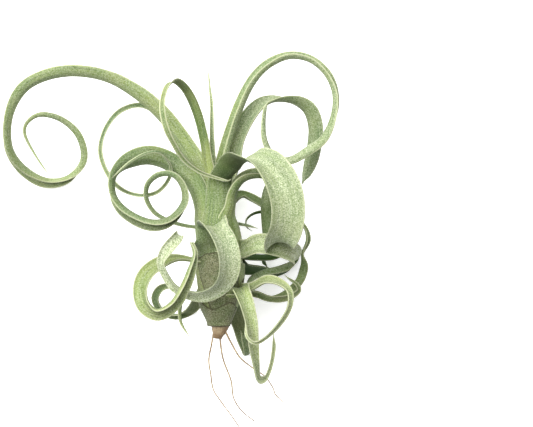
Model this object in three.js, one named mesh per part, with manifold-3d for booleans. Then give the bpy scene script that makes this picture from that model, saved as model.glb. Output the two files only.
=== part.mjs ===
// A curly-leaved air plant, picked bare-rooted and laid on its back on a table.
//
// Millimetres. +X runs to the plant's right, +Y towards its crown, and +Z up from the table,
// so the side that faces +Z is the plant's front. The origin is on the table, under the middle
// of the plant's box. Every leaf is a strap that clasps the stem, arches out and curls back, with
// its channelled upper face on the outside of the curl.

import * as THREE from 'three';
import { mergeVertices } from 'three/addons/utils/BufferGeometryUtils.js';
import Module from 'manifold-3d';

// ---------------------------------------------------------------- driving sizes

const STATION_SPACING = 10;       // longest stretch of leaf between two cross sections ...
const STATION_TURN = 30;          // ... and the most degrees that it bends between them
const RIB_THICKNESS = 0.62;       // leaf thickness at its midline: this much ...
const THICKNESS_PER_WIDTH = 0.05; // ... and this share of its width
const MARGIN_THICKNESS = 0.6;     // thickness along both margins
const SHORTEST_RADIUS = 1.4;      // least radius of the channel, in leaf thicknesses
const KEEL_SHARE = 0.35;          // share of the channel's depth that lies behind the midline
const SECTION_POINTS = 4;         // points over the section of a leaf that names no other number
const LEAST_WIDTH = 1;            // no leaf is drawn out thinner than this
const SEAM_GAP = 0.35;            // clearance that neighbouring pieces keep
const TABLE = 0;
const TABLE_BLOCK = [600, 40];    // width and depth of the block that trims what dips below the table

const STEM_SIDES = 30;            // facets round the stem
const STEM_SPACING = 4;           // length of stem between two rings
const SHEATH_EDGES = 3;           // sheath edges round the stem
const SHEATH_STEP = 0.09;         // how far one edge stands over the next, as a share of the radius
const SHEATH_PITCH = 95;          // length of stem in which an edge moves on by one place

const ROOT_SIDES = 6;
const ROOT_RADIUS = 0.6;
const ROOT_TAPER = 0.25;          // share of its radius that a root loses by its end
const ROOT_SPACING = 4.5;
const KNOT_SIDES = 12;

const LEAF_GREEN = 0xa9b98a;
const SHEATH_GREEN = 0x93a878;
const ROOT_BROWN = 0xa88a5e;
const LEAF_ROUGHNESS = 0.7;
const SHEATH_ROUGHNESS = 0.75;
const ROOT_ROUGHNESS = 0.9;

// The stem of packed leaf sheaths: x, y, z and radius at each station, from base to crown.
const STEM = [
  [27.5, -45, 49, 6.5], [28, -35, 50, 9.5], [28.5, -24, 50, 12], [28, -11, 50, 13],
  [27, 1, 50, 12.5], [25.5, 12.5, 50, 11.5], [25.5, 23.5, 50, 10.5], [25, 31.5, 50, 9.5],
  [24.5, 36.5, 50, 7], [24.5, 40.5, 50, 3.5],
];

// Roots: x, y, z along each wiry strand, from the crown of the roots outwards.
const ROOTS = [
  [
    [24.5, -49.5, 46], [23, -58, 46], [21.5, -66.5, 44], [22.5, -74.5, 43], [24, -83.5, 42],
    [29, -91.5, 40], [35, -100, 38], [40.5, -108.5, 36],
  ],
  [
    [27.5, -49.5, 48], [28.5, -59.5, 48], [30, -67, 47], [34, -78, 45], [35.5, -88, 44],
    [40, -95.5, 42], [47, -101.5, 40],
  ],
  [
    [30, -48, 50], [34, -56, 50], [39, -64.5, 49], [46, -70.5, 48], [53, -75.5, 46],
    [57.5, -82, 44], [59, -86, 43], [63.5, -91, 41],
  ],
];

// The dry knot below the stem: x, y, z and radius at each station.
const ROOT_KNOT = [[26.5, -54, 48, 2.2], [27.5, -49, 48.5, 4.4], [28.5, -43, 49, 6]];

// Leaves, front ones first. bearing is the side of the stem that the leaf leaves from, in degrees
// from the front over the right. channel holds the angle of the channelled section in degrees, at
// even steps from base to tip. route holds x, y, z of the midline, the blade's width and the degrees
// that it is rolled about its midline. across is the number of points over the section.
const LEAVES = [
  {
    name: 'front_drooping_leaf', bearing: 355, channel: [130, 75, 130],
    route: [
      [25, -26.5, 61, 24, 5], [24.5, -12.5, 62, 23, 25], [24.5, -0.5, 63, 21.5, 40],
      [24.5, 9, 67, 19.5, 35], [25, 9, 76, 18.5, -5], [30, 2, 83, 18, -10],
      [33, -7.5, 85, 17, -10], [32.5, -17.5, 83, 15.5, -5], [27.5, -24.5, 79, 13.5, 0],
      [19, -28.5, 75, 11.5, 10], [10.5, -27.5, 73, 9.5, 15], [4, -24, 75, 8, 10],
      [-0.5, -17.5, 77, 7, 0], [-3, -10.5, 79, 6, -35], [0, -4, 80, 8, -100],
      [4.5, 1.5, 77, 8, -105], [5.5, 4.5, 70, 7, -170], [2, 3.5, 64, 5.5, -230],
      [-1.5, -2, 60, 2, -240],
    ],
  },
  {
    name: 'front_right_coil_leaf', bearing: 20, channel: [150, 90, 120],
    route: [
      [27.5, 11.5, 61, 22, 5], [29.5, 23, 62, 22, 10], [31.5, 34, 64, 21, 15],
      [35.5, 42.5, 69, 20, 15], [40.5, 46, 77, 20, 15], [46, 46.5, 87, 20, 30],
      [54, 43, 96, 20, 40], [61.5, 33.5, 101, 20, 60], [65.5, 21.5, 101, 20, 75],
      [65, 9.5, 95, 19.5, 80], [61.5, 1.5, 85, 18.5, 75], [59.5, 0, 72, 17, 35],
      [56, 7, 63, 14, 10], [53.5, 19.5, 62, 11, -10], [54.5, 29.5, 68, 7, -15],
      [58, 33.5, 75, 3.5, -30],
    ],
  },
  {
    name: 'front_right_arched_leaf', bearing: 60, channel: [150, 160, 170, 160, 140],
    route: [
      [33.5, 8, 56, 17, 10], [34.5, 19, 58, 16, 20], [35.5, 28, 59, 15, 30],
      [40.5, 35, 60, 14, 35], [48, 37.5, 60, 13, 45], [57, 36, 58, 12, 55], [64, 28.5, 55, 10, 60],
      [67, 19.5, 51, 8, 65], [64, 12, 48, 5.5, 75], [58, 11.5, 46, 2.5, 80],
    ],
  },
  {
    name: 'forward_looped_leaf', bearing: 330, channel: [140, 110, 150], across: 3,
    route: [
      [24.5, 26.5, 53, 11, -5], [21, 43, 53, 8.5, -10], [18.5, 58.5, 54, 7, 0],
      [15, 72.5, 57, 6.5, 10], [10, 83.5, 63, 6, 20], [4.5, 88, 74, 5.5, 25],
      [0.5, 84, 86, 4.5, 15], [-1.5, 74, 93, 4, 10], [0.5, 62, 93, 4, 5], [4.5, 53, 88, 3.5, 0],
      [9.5, 45, 81, 3, -10], [17, 39, 75, 2.5, -20], [25, 36, 71, 2, -25],
      [32.5, 34, 68, 1.5, -35], [34.5, 35, 67, 1, -40],
    ],
  },
  {
    name: 'left_coil_leaf', bearing: 300, channel: [140, 130, 90, 165, 180, 165, 150, 150, 150],
    route: [
      [17, 9, 57, 19, 0], [16.5, 22, 55.5, 18, 5], [12.5, 33, 55, 17, 15], [5.5, 40, 55, 15.5, 25],
      [-3.5, 45.5, 55, 15, 25], [-13, 47.5, 56, 14.5, 25], [-23.5, 44, 57, 13, 15],
      [-30.5, 37, 58, 11, -10], [-31, 27, 60, 11.5, -20], [-26, 19, 62, 13.5, -25],
      [-17, 13, 64, 14, -30], [-7.5, 10.5, 66, 13.5, -25], [1.5, 13, 67, 12, -10],
      [8.5, 21.5, 67, 10, 10], [8, 30.5, 66, 8, 15], [2.5, 37, 65, 6.5, 15], [-5.5, 37, 63, 6, 10],
      [-11.5, 32, 60, 5.5, -5], [-12.5, 24.5, 57, 5, -20], [-8.5, 17, 53, 4.5, -35],
      [-1.5, 12.5, 48, 4, -45], [7.5, 9.5, 42, 4, -55], [17.5, 8.5, 36, 3.5, -55],
      [30.5, 11, 33, 3, -50], [41.5, 9.5, 33, 2.5, -40], [49, 7.5, 35, 1, -25],
    ],
  },
  {
    name: 'far_left_coil_leaf', bearing: 262, channel: [110, 110, 100, 150, 180, 160, 150],
    route: [
      [23.5, 21, 48, 17, 5], [18, 38.5, 46, 16, 35], [8, 53.5, 45, 15, 50],
      [-3.5, 69.5, 46, 14, 50], [-16.5, 81.5, 48, 13, 50], [-34, 91.5, 50, 11.5, 45],
      [-53, 95, 51, 11, 45], [-70.5, 92.5, 49, 10.5, 45], [-83.5, 85, 45, 11, 30],
      [-92, 70, 39, 12, -5], [-93.5, 53.5, 30, 13.5, -35], [-87, 42, 17, 13.5, -65],
      [-75.5, 35, 7.5, 12.5, -90], [-62.5, 37, 6, 10, -80], [-53.5, 47.5, 10, 7.5, -15],
      [-55, 60.5, 18, 6.5, 15], [-63.5, 69.5, 25, 5.5, 30], [-74.5, 72.5, 29, 4.5, 35],
      [-82, 69, 30, 3.5, 35], [-84.5, 62, 29, 3, 20], [-79.5, 50.5, 26, 2, 15],
      [-71.5, 38, 23, 1, 15],
    ],
  },
  {
    name: 'tall_right_loop_leaf', bearing: 100, channel: [140, 150, 150],
    route: [
      [26, 23.5, 47, 16, 10], [29, 43, 44, 15.5, 10], [33.5, 60, 42, 15, 10],
      [39, 76, 42, 14.5, 10], [45.5, 89.5, 41, 14, 10], [54, 99.5, 40, 13, 15],
      [66, 105.5, 40, 12, 10], [78, 104, 40, 11, 10], [87.5, 96, 41, 10.5, 10],
      [93, 84.5, 42, 10.5, 0], [92.5, 72, 43, 10.5, -10], [86.5, 59.5, 44, 10, -35],
      [78, 52.5, 44, 9, -55], [67.5, 46.5, 44, 7.5, -60], [58.5, 48, 45, 6, -65],
      [53.5, 56.5, 47, 5, -70], [52.5, 66, 49, 4, -70], [53.5, 75.5, 51, 3, -75],
      [56, 79.5, 51, 1.5, -75],
    ],
  },
  {
    name: 'right_arch_leaf', bearing: 135, channel: [130, 90, 140],
    route: [
      [29, 23.5, 42, 18, 0], [35, 43, 37, 17, 0], [38, 57.5, 34, 15.5, 0], [45, 71.5, 32, 14.5, 0],
      [54, 80, 30, 13.5, -10], [66.5, 81, 29, 13, -40], [77.5, 76, 28, 12, -75],
      [81.5, 65.5, 27, 11.5, -85], [80.5, 53, 27, 11, -90], [78, 43, 27, 9.5, -90],
      [74.5, 33, 28, 3, -85],
    ],
  },
  {
    name: 'thin_left_loop_leaf', bearing: 235, channel: [120, 110, 140], across: 3,
    route: [
      [21, 15, 42, 13, 0], [16.5, 30.5, 38, 11, -15], [9.5, 47.5, 34, 9, -30],
      [0, 65, 31, 6.5, -40], [-9.5, 74.5, 30, 4.5, -50], [-19.5, 78, 30, 3.5, -50],
      [-30.5, 74, 31, 3.5, -55], [-38, 64, 33, 3, -55], [-40.5, 52, 36, 3, -50],
      [-37, 40.5, 39, 3, -40], [-29.5, 31, 43, 3, -25], [-19, 26.5, 48, 2.5, -10],
      [-8, 27.5, 53, 2.5, 0], [-1, 34, 56, 2.5, 0], [1, 42, 60, 2, -20], [-4, 49, 68, 2, -60],
      [-11.5, 49, 72.5, 1.5, -90], [-20.5, 44, 73, 1.5, -110], [-30.5, 35.5, 71, 1, -125],
    ],
  },
  {
    name: 'centre_spear_leaf', bearing: 200, channel: [150, 150, 150], across: 3,
    route: [
      [24.5, 29, 47, 8, 5], [23.5, 46, 45, 5, 15], [23, 63, 44, 3.5, 15], [23, 77, 43, 2.5, 5],
      [22, 87, 42, 1.5, 0], [21, 94, 41, 1, -5],
    ],
  },
  {
    name: 'right_folded_leaf', bearing: 75, channel: [150, 80, 120],
    route: [
      [35, -11, 57, 16, 5], [41.5, -6, 61, 15, 25], [49.5, -1.5, 65, 14.5, 40],
      [59, -2.5, 66, 14, 40], [67.5, -5.5, 62, 13, 45], [70.5, -8, 53, 11.5, 65],
      [68, -12, 45, 10.5, 75], [61, -15, 41, 9, 75], [52.5, -17, 41, 7.5, 75],
      [45.5, -20.5, 42, 6, 75], [42.5, -27, 45, 3, 70],
    ],
  },
  {
    name: 'lower_left_coil_leaf', bearing: 290, channel: [150, 130, 130, 165, 165, 140, 130],
    route: [
      [20.5, -12, 57, 9.5, 0], [13.5, -10, 60, 10, -5], [5, -9, 63, 10.5, -10],
      [-3.5, -11.5, 66, 11.5, -25], [-11, -17, 70, 12, -30], [-14, -25, 73, 12, -15],
      [-12, -33.5, 76, 12.5, 5], [-5, -38, 78, 12.5, 30], [3, -33.5, 79, 12.5, 45],
      [8.5, -25, 80, 12, 50], [12.5, -15.5, 79, 10.5, 50], [15, -6, 75, 7.5, 45],
      [13, -2, 65, 4.5, -15], [11.5, -5.5, 53, 3.5, -90], [9.5, -13.5, 46, 3.5, -85],
      [6, -25, 46, 3.5, -70], [4, -35, 51, 3.5, -55], [6.5, -44.5, 57, 2.5, -40],
      [12, -53, 62, 1, -40],
    ],
  },
  {
    name: 'lower_hanging_leaf', bearing: 30, channel: [150, 90, 130],
    route: [
      [31.5, -32, 57, 18, 0], [37, -24.5, 64, 16, 0], [39.5, -26.5, 71, 13, 0],
      [43, -34.5, 75, 11, 0], [45.5, -45, 76, 9.5, -5], [46.5, -55.5, 75, 8.5, -10],
      [48, -66.5, 72, 7, -20], [49.5, -75, 66, 5.5, -35], [53.5, -75, 59, 4, -35],
      [56.5, -68, 53, 3.5, -40], [58, -59, 51, 3, -55], [58, -51.5, 52, 1.5, -65],
    ],
  },
  {
    name: 'lower_right_loop_leaf', bearing: 85, channel: [150, 90, 140], across: 3,
    route: [
      [32.5, -32.5, 52, 16, 0], [39.5, -28, 56, 11, 0], [46.5, -25, 59, 9.5, -5],
      [54, -21, 62, 8.5, -5], [61.5, -22.5, 66, 7.5, -20], [66.5, -27.5, 70, 6.5, -45],
      [66, -35.5, 74, 5.5, -60], [61, -43.5, 79, 4.5, -65], [54, -50.5, 84, 3.5, -70],
      [48, -53.5, 86, 3, -70], [43.5, -50, 85, 2.5, -65], [42.5, -42.5, 82, 1, -55],
    ],
  },
  {
    name: 'lower_right_tendril_leaf', bearing: 95, channel: [140, 90, 130], across: 3,
    route: [
      [31, -26.5, 47, 10, 0], [40, -27.5, 46.5, 8, -5], [48.5, -29, 45, 7, -15],
      [55, -31.5, 44, 6, -20], [62, -32, 43, 5.5, -30], [68, -30.5, 42, 5, -30],
      [72, -27.5, 42, 4, -25], [71, -24, 43, 3, -20], [67, -21, 44, 2, -15],
      [64, -18.5, 45, 1, -20],
    ],
  },
  {
    name: 'rear_right_loop_leaf', bearing: 120, channel: [130, 90, 100, 150, 90, 120],
    route: [
      [31, 5.5, 45, 16, 0], [32, 18, 41, 14, 10], [38.5, 26, 37, 11, 20], [45.5, 24.5, 34, 9, 45],
      [55.5, 19, 31, 8, 50], [68, 13.5, 30, 7, 50], [75.5, 8.5, 31, 4.5, 35], [77.5, 1, 33, 6, 25],
      [74.5, -7, 34, 4, 0], [75, -14.5, 35, 6.5, -55], [72, -23, 36, 6, -60],
      [63.5, -30, 36, 4.5, -60], [54.5, -32, 35, 3.5, -50], [46.5, -27.5, 36, 1.5, -45],
    ],
  },
  {
    name: 'rear_right_coil_leaf', bearing: 140, channel: [140, 90, 130], across: 3,
    route: [
      [31, -2.5, 43, 12, 5], [38, -7.5, 37, 10, 25], [47, -8.5, 29, 8.5, 40],
      [57, -8.5, 21, 7.5, 40], [66, -4.5, 16, 6.5, 35], [71.5, 3, 13, 5.5, 30],
      [69.5, 11, 14, 4.5, 35], [63, 15.5, 17, 4, 45], [54.5, 17, 20, 3, 45], [47, 16, 23, 2.5, 50],
      [42.5, 12.5, 25, 2, 50], [42.5, 8.5, 27, 1.5, 30], [45.5, 6, 28, 1, 10],
    ],
  },
  {
    name: 'rear_right_foot_leaf', bearing: 150, channel: [140, 90, 130],
    route: [
      [32.5, -11.5, 43, 13, 0], [40, -14.5, 37, 11, 10], [49.5, -16, 28, 10, 15],
      [59, -18, 17, 9, 15], [67, -16, 8, 8, 15], [71, -11, 2.5, 7.5, 15], [68, -6, 0.5, 7, 10],
      [61.5, -5, 3.5, 6, 10], [55.5, -7, 9, 5, 5], [52.5, -11.5, 16, 3.5, 5],
      [54.5, -15, 23, 1.5, 0],
    ],
  },
  {
    name: 'rear_upper_foot_leaf', bearing: 180, channel: [130, 90, 130],
    route: [
      [25.5, 8, 40, 16, 0], [25.5, 21, 36, 15, 0], [24.5, 31, 29, 14, 0], [24, 37.5, 18, 12.5, 0],
      [23.5, 38.5, 7, 11, 0], [23.5, 33.5, 1, 10, 0], [23.5, 25.5, 1, 8.5, 0], [24, 19, 6, 7.5, 0],
      [24.5, 17, 14, 6, 0], [25, 21, 20, 5, 0], [25, 26.5, 21, 3.5, 0], [24.5, 31, 18, 1.5, 0],
    ],
  },
  {
    name: 'rear_lower_left_foot_leaf', bearing: 205, channel: [140, 90, 130],
    route: [
      [25.5, -9, 40, 15, 0], [23, -16, 33, 13.5, 0], [19, -24.5, 24, 12, 0], [14, -34, 13, 11, 0],
      [8, -41.5, 4.5, 9.5, 0], [0, -44.5, 0.5, 8.5, 0], [-7.5, -41.5, 2.5, 7.5, 0],
      [-11, -34, 8, 6.5, 0], [-7.5, -27.5, 14, 5, 0], [-1, -26, 18, 3.5, 0],
      [3.5, -30, 19, 1.5, 0],
    ],
  },
  {
    name: 'rear_lower_right_foot_leaf', bearing: 165, channel: [140, 90, 130],
    route: [
      [28, -11.5, 40, 15, 0], [31, -21.5, 32, 13.5, 0], [33.5, -32.5, 21, 12, 0],
      [36, -42, 10, 11, 0], [38.5, -50.5, 3, 9.5, 0], [40, -57.5, 0.5, 8.5, 0],
      [42, -63.5, 3, 7, 0], [43, -66, 9, 6, 0], [42.5, -63.5, 15.5, 4.5, 0], [41, -57.5, 19, 3, 0],
      [39, -52, 18, 1.5, 0],
    ],
  },
];

// ---------------------------------------------------------------- curves and frames

const radians = THREE.MathUtils.degToRad;
const wasm = await Module();
wasm.setup();

const point = (row) => new THREE.Vector3(row[0], row[1], row[2]);

// Catmull-Rom through rows of numbers, all columns alike, with a station at least every `spacing`
// and at least every STATION_TURN degrees of bend.
function smoothRows(rows, spacing) {
  const count = rows.length;
  const mirrored = (end, next) => end.map((value, column) => 2 * value - next[column]);
  const padded = [mirrored(rows[0], rows[1]), ...rows, mirrored(rows[count - 1], rows[count - 2])];
  const stations = [];
  for (let span = 0; span < count - 1; span += 1) {
    const [before, start, end, after] = padded.slice(span, span + 4);
    const heading = point(end).sub(point(before));
    const turn = heading.angleTo(point(after).sub(point(start)));
    const steps = Math.ceil(Math.max(
      point(start).distanceTo(point(end)) / spacing,
      turn / radians(STATION_TURN),
    ));
    for (let step = 0; step < steps; step += 1) {
      const t = step / steps;
      stations.push(start.map((value, column) => 0.5 * (
        2 * value
        + (end[column] - before[column]) * t
        + (2 * before[column] - 5 * value + 4 * end[column] - after[column]) * t * t
        + (3 * value - before[column] - 3 * end[column] + after[column]) * t * t * t
      )));
    }
  }
  stations.push(rows[count - 1]);
  return stations;
}

// Tangents, and normals that follow the path with no twist of their own (double reflection).
// Where two tangents are the same but for rounding, the second reflection has no mirror.
function pathFrames(points, firstNormal) {
  const last = points.length - 1;
  const tangents = points.map((_, i) => points[Math.min(i + 1, last)].clone()
    .sub(points[Math.max(i - 1, 0)]).normalize());
  const square = (vector, tangent) => vector.addScaledVector(tangent, -vector.dot(tangent)).normalize();
  const normals = [square(firstNormal.clone(), tangents[0])];
  for (let i = 0; i < last; i += 1) {
    const chord = points[i + 1].clone().sub(points[i]);
    const reflect = (vector, axis) => vector.clone()
      .addScaledVector(axis, -2 * axis.dot(vector) / axis.lengthSq());
    const normal = reflect(normals[i], chord);
    const mirror = tangents[i + 1].clone().sub(reflect(tangents[i], chord));
    const carried = mirror.lengthSq() > Number.EPSILON ? reflect(normal, mirror) : normal;
    normals.push(square(carried, tangents[i + 1]));
  }
  return { tangents, normals };
}

// ---------------------------------------------------------------- closed solids

// A closed solid from a list of rings of points: rings[i][j], joined side by side, capped flat.
function ringSolid(rings) {
  const sides = rings[0].length;
  const corners = rings.flat();
  const triangles = [];
  for (let ring = 0; ring < rings.length - 1; ring += 1) {
    for (let side = 0; side < sides; side += 1) {
      const here = ring * sides + side;
      const next = ring * sides + (side + 1) % sides;
      triangles.push([here, next, next + sides], [here, next + sides, here + sides]);
    }
  }
  for (const [ring, flip] of [[0, true], [rings.length - 1, false]]) {
    const centre = corners.length;
    corners.push(rings[ring].reduce((sum, corner) => sum.add(corner), new THREE.Vector3())
      .divideScalar(sides));
    for (let side = 0; side < sides; side += 1) {
      const here = ring * sides + side;
      const next = ring * sides + (side + 1) % sides;
      triangles.push(flip ? [next, here, centre] : [here, next, centre]);
    }
  }
  return toManifold(corners, triangles);
}

function toManifold(corners, triangles) {
  const vertProperties = new Float32Array(corners.flatMap((corner) => corner.toArray()));
  const triVerts = new Uint32Array(triangles.flat());
  return new wasm.Manifold(new wasm.Mesh({ numProp: 3, vertProperties, triVerts }));
}

// The value at a fraction t of the leaf's length, of values at even steps along it.
function alongLeaf(values, t) {
  const place = t * (values.length - 1);
  const step = Math.min(Math.floor(place), values.length - 2);
  return THREE.MathUtils.lerp(values[step], values[step + 1], place - step);
}

// One blade: a channelled strap with a rounded section, swollen by `swell` on every side.
function bladeSolid({ bearing, channel, route, across = SECTION_POINTS }, swell = 0) {
  const stations = smoothRows(route, STATION_SPACING);
  const points = stations.map(point);
  const outward = new THREE.Vector3(Math.sin(radians(bearing)), 0, Math.cos(radians(bearing)));
  const { tangents, normals } = pathFrames(points, outward.negate());
  const reach = [0];
  points.slice(1).forEach((place, i) => reach.push(reach[i] + place.distanceTo(points[i])));
  const upper = [];
  const lower = [];
  stations.forEach((station, i) => {
    const width = Math.max(station[3], LEAST_WIDTH);
    const roll = radians(station[4]);
    const sideways = new THREE.Vector3().crossVectors(tangents[i], normals[i]);
    const up = normals[i].clone().multiplyScalar(Math.cos(roll)).addScaledVector(sideways, Math.sin(roll));
    const side = new THREE.Vector3().crossVectors(up, tangents[i]);
    const rib = RIB_THICKNESS + THICKNESS_PER_WIDTH * width;
    const bend = Math.min(
      radians(alongLeaf(channel, reach[i] / reach.at(-1))),
      width / (SHORTEST_RADIUS * rib),
    );
    const radius = width / bend;
    const keel = KEEL_SHARE * radius * (1 - Math.cos(bend / 2));
    const half = (bend / 2) * (1 + 2 * swell / width);
    const upperRow = [];
    const lowerRow = [];
    for (let j = 0; j < across; j += 1) {
      const share = (2 * j) / (across - 1) - 1;
      const angle = share * half;
      const thick = MARGIN_THICKNESS + (rib - MARGIN_THICKNESS) * Math.cos((share * Math.PI) / 2);
      const place = (reachOut) => points[i].clone()
        .addScaledVector(side, reachOut * Math.sin(angle))
        .addScaledVector(up, radius - keel - reachOut * Math.cos(angle));
      upperRow.push(place(radius - thick / 2 - swell));
      lowerRow.push(place(radius + thick / 2 + swell));
    }
    upper.push(upperRow);
    lower.push(lowerRow);
  });
  return gridSolid(upper, lower);
}

// Two grids of points, back to back, joined along the margins and at both ends. Each cell is
// split along the same diagonal on both faces, so that a rolled blade never cuts itself.
function gridSolid(upper, lower) {
  const rows = upper.length;
  const columns = upper[0].length;
  const corners = [...upper.flat(), ...lower.flat()];
  const top = (i, j) => i * columns + j;
  const under = (i, j) => rows * columns + i * columns + j;
  const triangles = [];
  const cell = (a, b, c, d) => triangles.push([a, b, c], [a, c, d]);
  for (let i = 0; i < rows - 1; i += 1) {
    for (let j = 0; j < columns - 1; j += 1) {
      cell(top(i, j), top(i + 1, j), top(i + 1, j + 1), top(i, j + 1));
      triangles.push([under(i, j), under(i + 1, j + 1), under(i + 1, j)]);
      triangles.push([under(i, j), under(i, j + 1), under(i + 1, j + 1)]);
    }
    cell(top(i, 0), under(i, 0), under(i + 1, 0), top(i + 1, 0));
    const edge = columns - 1;
    cell(top(i, edge), top(i + 1, edge), under(i + 1, edge), under(i, edge));
  }
  for (let j = 0; j < columns - 1; j += 1) {
    const end = rows - 1;
    cell(top(0, j), top(0, j + 1), under(0, j + 1), under(0, j));
    cell(top(end, j), under(end, j), under(end, j + 1), top(end, j + 1));
  }
  return toManifold(corners, triangles);
}

// The stem: round sections along its stations, whose radius climbs and drops once for each
// sheath edge, so that the edges wind up the stem as overlapping steps.
function stemSolid(swell = 0) {
  const rings = smoothRows(STEM, STEM_SPACING).map(([x, y, z, radius]) => {
    const ring = [];
    for (let side = 0; side < STEM_SIDES; side += 1) {
      const turn = side / STEM_SIDES;
      const climb = THREE.MathUtils.euclideanModulo(SHEATH_EDGES * turn + y / SHEATH_PITCH, 1);
      const reach = radius * (1 + SHEATH_STEP * (climb - 0.5)) + swell;
      const angle = turn * Math.PI * 2;
      ring.push(new THREE.Vector3(x + reach * Math.sin(angle), y, z + reach * Math.cos(angle)));
    }
    return ring;
  });
  return ringSolid(rings);
}

// A root: an even round strand that thins a little towards its end.
function rootSolid(route) {
  const points = smoothRows(route, ROOT_SPACING).map(point);
  const { tangents, normals } = pathFrames(points, new THREE.Vector3(0, 0, 1));
  const rings = points.map((place, i) => {
    const radius = ROOT_RADIUS * (1 - (ROOT_TAPER * i) / points.length);
    const across = new THREE.Vector3().crossVectors(tangents[i], normals[i]);
    const ring = [];
    for (let side = 0; side < ROOT_SIDES; side += 1) {
      const angle = (side / ROOT_SIDES) * Math.PI * 2;
      ring.push(place.clone()
        .addScaledVector(across, radius * Math.sin(angle))
        .addScaledVector(normals[i], radius * Math.cos(angle)));
    }
    return ring;
  });
  return ringSolid(rings);
}

// The dry knot that the roots grow from, and the roots, as one piece.
function rootTuft() {
  const knot = ringSolid(ROOT_KNOT.map(([x, y, z, radius]) => {
    const ring = [];
    for (let side = 0; side < KNOT_SIDES; side += 1) {
      const angle = (side / KNOT_SIDES) * Math.PI * 2;
      ring.push(new THREE.Vector3(x + radius * Math.sin(angle), y, z + radius * Math.cos(angle)));
    }
    return ring;
  }));
  return ROOTS.reduce((tuft, route) => tuft.add(rootSolid(route)), knot);
}

function boxSolid(width, height, centre) {
  const box = new THREE.BoxGeometry(width, width, height).translate(...centre);
  box.deleteAttribute('normal');
  box.deleteAttribute('uv');
  const merged = mergeVertices(box);
  return new wasm.Manifold(new wasm.Mesh({
    numProp: 3,
    vertProperties: merged.attributes.position.array,
    triVerts: new Uint32Array(merged.index.array),
  }));
}

// ---------------------------------------------------------------- assembly

const meet = (a, b) => {
  const first = a.boundingBox();
  const second = b.boundingBox();
  return [0, 1, 2].every((k) => first.min[k] < second.max[k] && second.min[k] < first.max[k]);
};

// What is left of a solid after its neighbours took their room: its largest piece.
function trimmed(solid, neighbours) {
  const left = neighbours.filter((other) => meet(solid, other))
    .reduce((rest, other) => rest.subtract(other), solid);
  return left.decompose().sort((a, b) => b.volume() - a.volume())[0];
}

function namedMesh(name, solid, color, roughness) {
  const { vertProperties, triVerts } = solid.getMesh();
  const geometry = new THREE.BufferGeometry();
  geometry.setAttribute('position', new THREE.BufferAttribute(vertProperties, 3));
  geometry.setIndex(new THREE.BufferAttribute(triVerts, 1));
  geometry.computeVertexNormals();
  const mesh = new THREE.Mesh(geometry, new THREE.MeshStandardMaterial({ color, roughness, metalness: 0 }));
  mesh.name = name;
  return mesh;
}

const plant = new THREE.Group();
plant.name = 'air_plant';
plant.add(namedMesh('leaf_sheath_stem', stemSolid(), SHEATH_GREEN, SHEATH_ROUGHNESS));

const [blockWidth, blockDepth] = TABLE_BLOCK;
const underTable = boxSolid(blockWidth, blockDepth, [0, 0, TABLE - blockDepth / 2]);
const taken = [stemSolid(SEAM_GAP), underTable];
plant.add(namedMesh('root_tuft', trimmed(rootTuft(), taken), ROOT_BROWN, ROOT_ROUGHNESS));
for (const leaf of LEAVES) {
  plant.add(namedMesh(leaf.name, trimmed(bladeSolid(leaf), taken), LEAF_GREEN, LEAF_ROUGHNESS));
  taken.push(bladeSolid(leaf, SEAM_GAP));
}

export default plant;
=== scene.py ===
# %% [markdown]
# # A curly-leaved air plant, laid on its back
#
# The plant is a short stem packed in leaf sheaths, with about twenty strap leaves that arch out
# and curl back on themselves, and a few wiry roots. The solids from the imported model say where
# everything is. This script dresses each of them in a finer piece: thin channelled blades with
# rounded margins, the silvery fuzz that feeds such a plant, dry sheaths round the stem, and the
# green, grey and straw colours. Lengths in the tables are millimetres, because a leaf is
# measured in them. Blender works in metres, so MM turns one into the other.

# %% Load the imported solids
import math

import bpy
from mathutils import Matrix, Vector


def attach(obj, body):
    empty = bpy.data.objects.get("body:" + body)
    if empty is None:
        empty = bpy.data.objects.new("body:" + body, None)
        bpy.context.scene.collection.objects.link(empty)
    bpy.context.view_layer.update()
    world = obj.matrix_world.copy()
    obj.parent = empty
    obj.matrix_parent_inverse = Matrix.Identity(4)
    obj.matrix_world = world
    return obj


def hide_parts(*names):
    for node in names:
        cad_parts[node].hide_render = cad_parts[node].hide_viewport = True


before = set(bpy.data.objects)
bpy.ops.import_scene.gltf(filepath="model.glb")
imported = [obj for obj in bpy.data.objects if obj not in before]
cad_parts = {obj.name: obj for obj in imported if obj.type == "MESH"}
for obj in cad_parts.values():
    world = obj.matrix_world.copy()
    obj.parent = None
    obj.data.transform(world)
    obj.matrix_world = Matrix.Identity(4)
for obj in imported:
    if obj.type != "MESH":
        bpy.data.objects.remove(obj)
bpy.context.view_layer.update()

MM = 0.001

# %% [markdown]
# ## The camera
#
# The camera looks straight down at the plant from 0.95 m, with the crown towards the top of the
# picture. A long lens keeps the leaves that rise towards it from looking swollen. A camera that
# looks straight down needs no turning, because Blender's cameras look along -Z from the start.

# %% Camera
SENSOR_WIDTH = 36.0
FRAME_WIDTH = 533            # pixels
PIXEL_SIZE = 0.56            # millimetres in one pixel, half way up the plant
VIEW_DISTANCE = 900.0        # millimetres from the lens to that height
CAMERA_PLACE = (0.054, 0.016, 0.950)


def in_scene(name, data):
    """A new object at the origin, in the scene."""
    thing = bpy.data.objects.new(name, data)
    bpy.context.collection.objects.link(thing)
    return thing


camera_data = bpy.data.cameras.new("overhead_camera")
camera_data.sensor_width = SENSOR_WIDTH
camera_data.lens = SENSOR_WIDTH * VIEW_DISTANCE / (PIXEL_SIZE * FRAME_WIDTH)
camera = in_scene("overhead_camera", camera_data)
camera.location = CAMERA_PLACE
bpy.context.scene.camera = camera
print("lens:", round(camera_data.lens, 2), "mm")

# %% [markdown]
# ## The plant, in numbers
#
# X runs to the plant's right, Y towards its crown and Z up from the table. The stem and the
# dry knot give x, y, z and radius; the roots give x, y, z.

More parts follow.
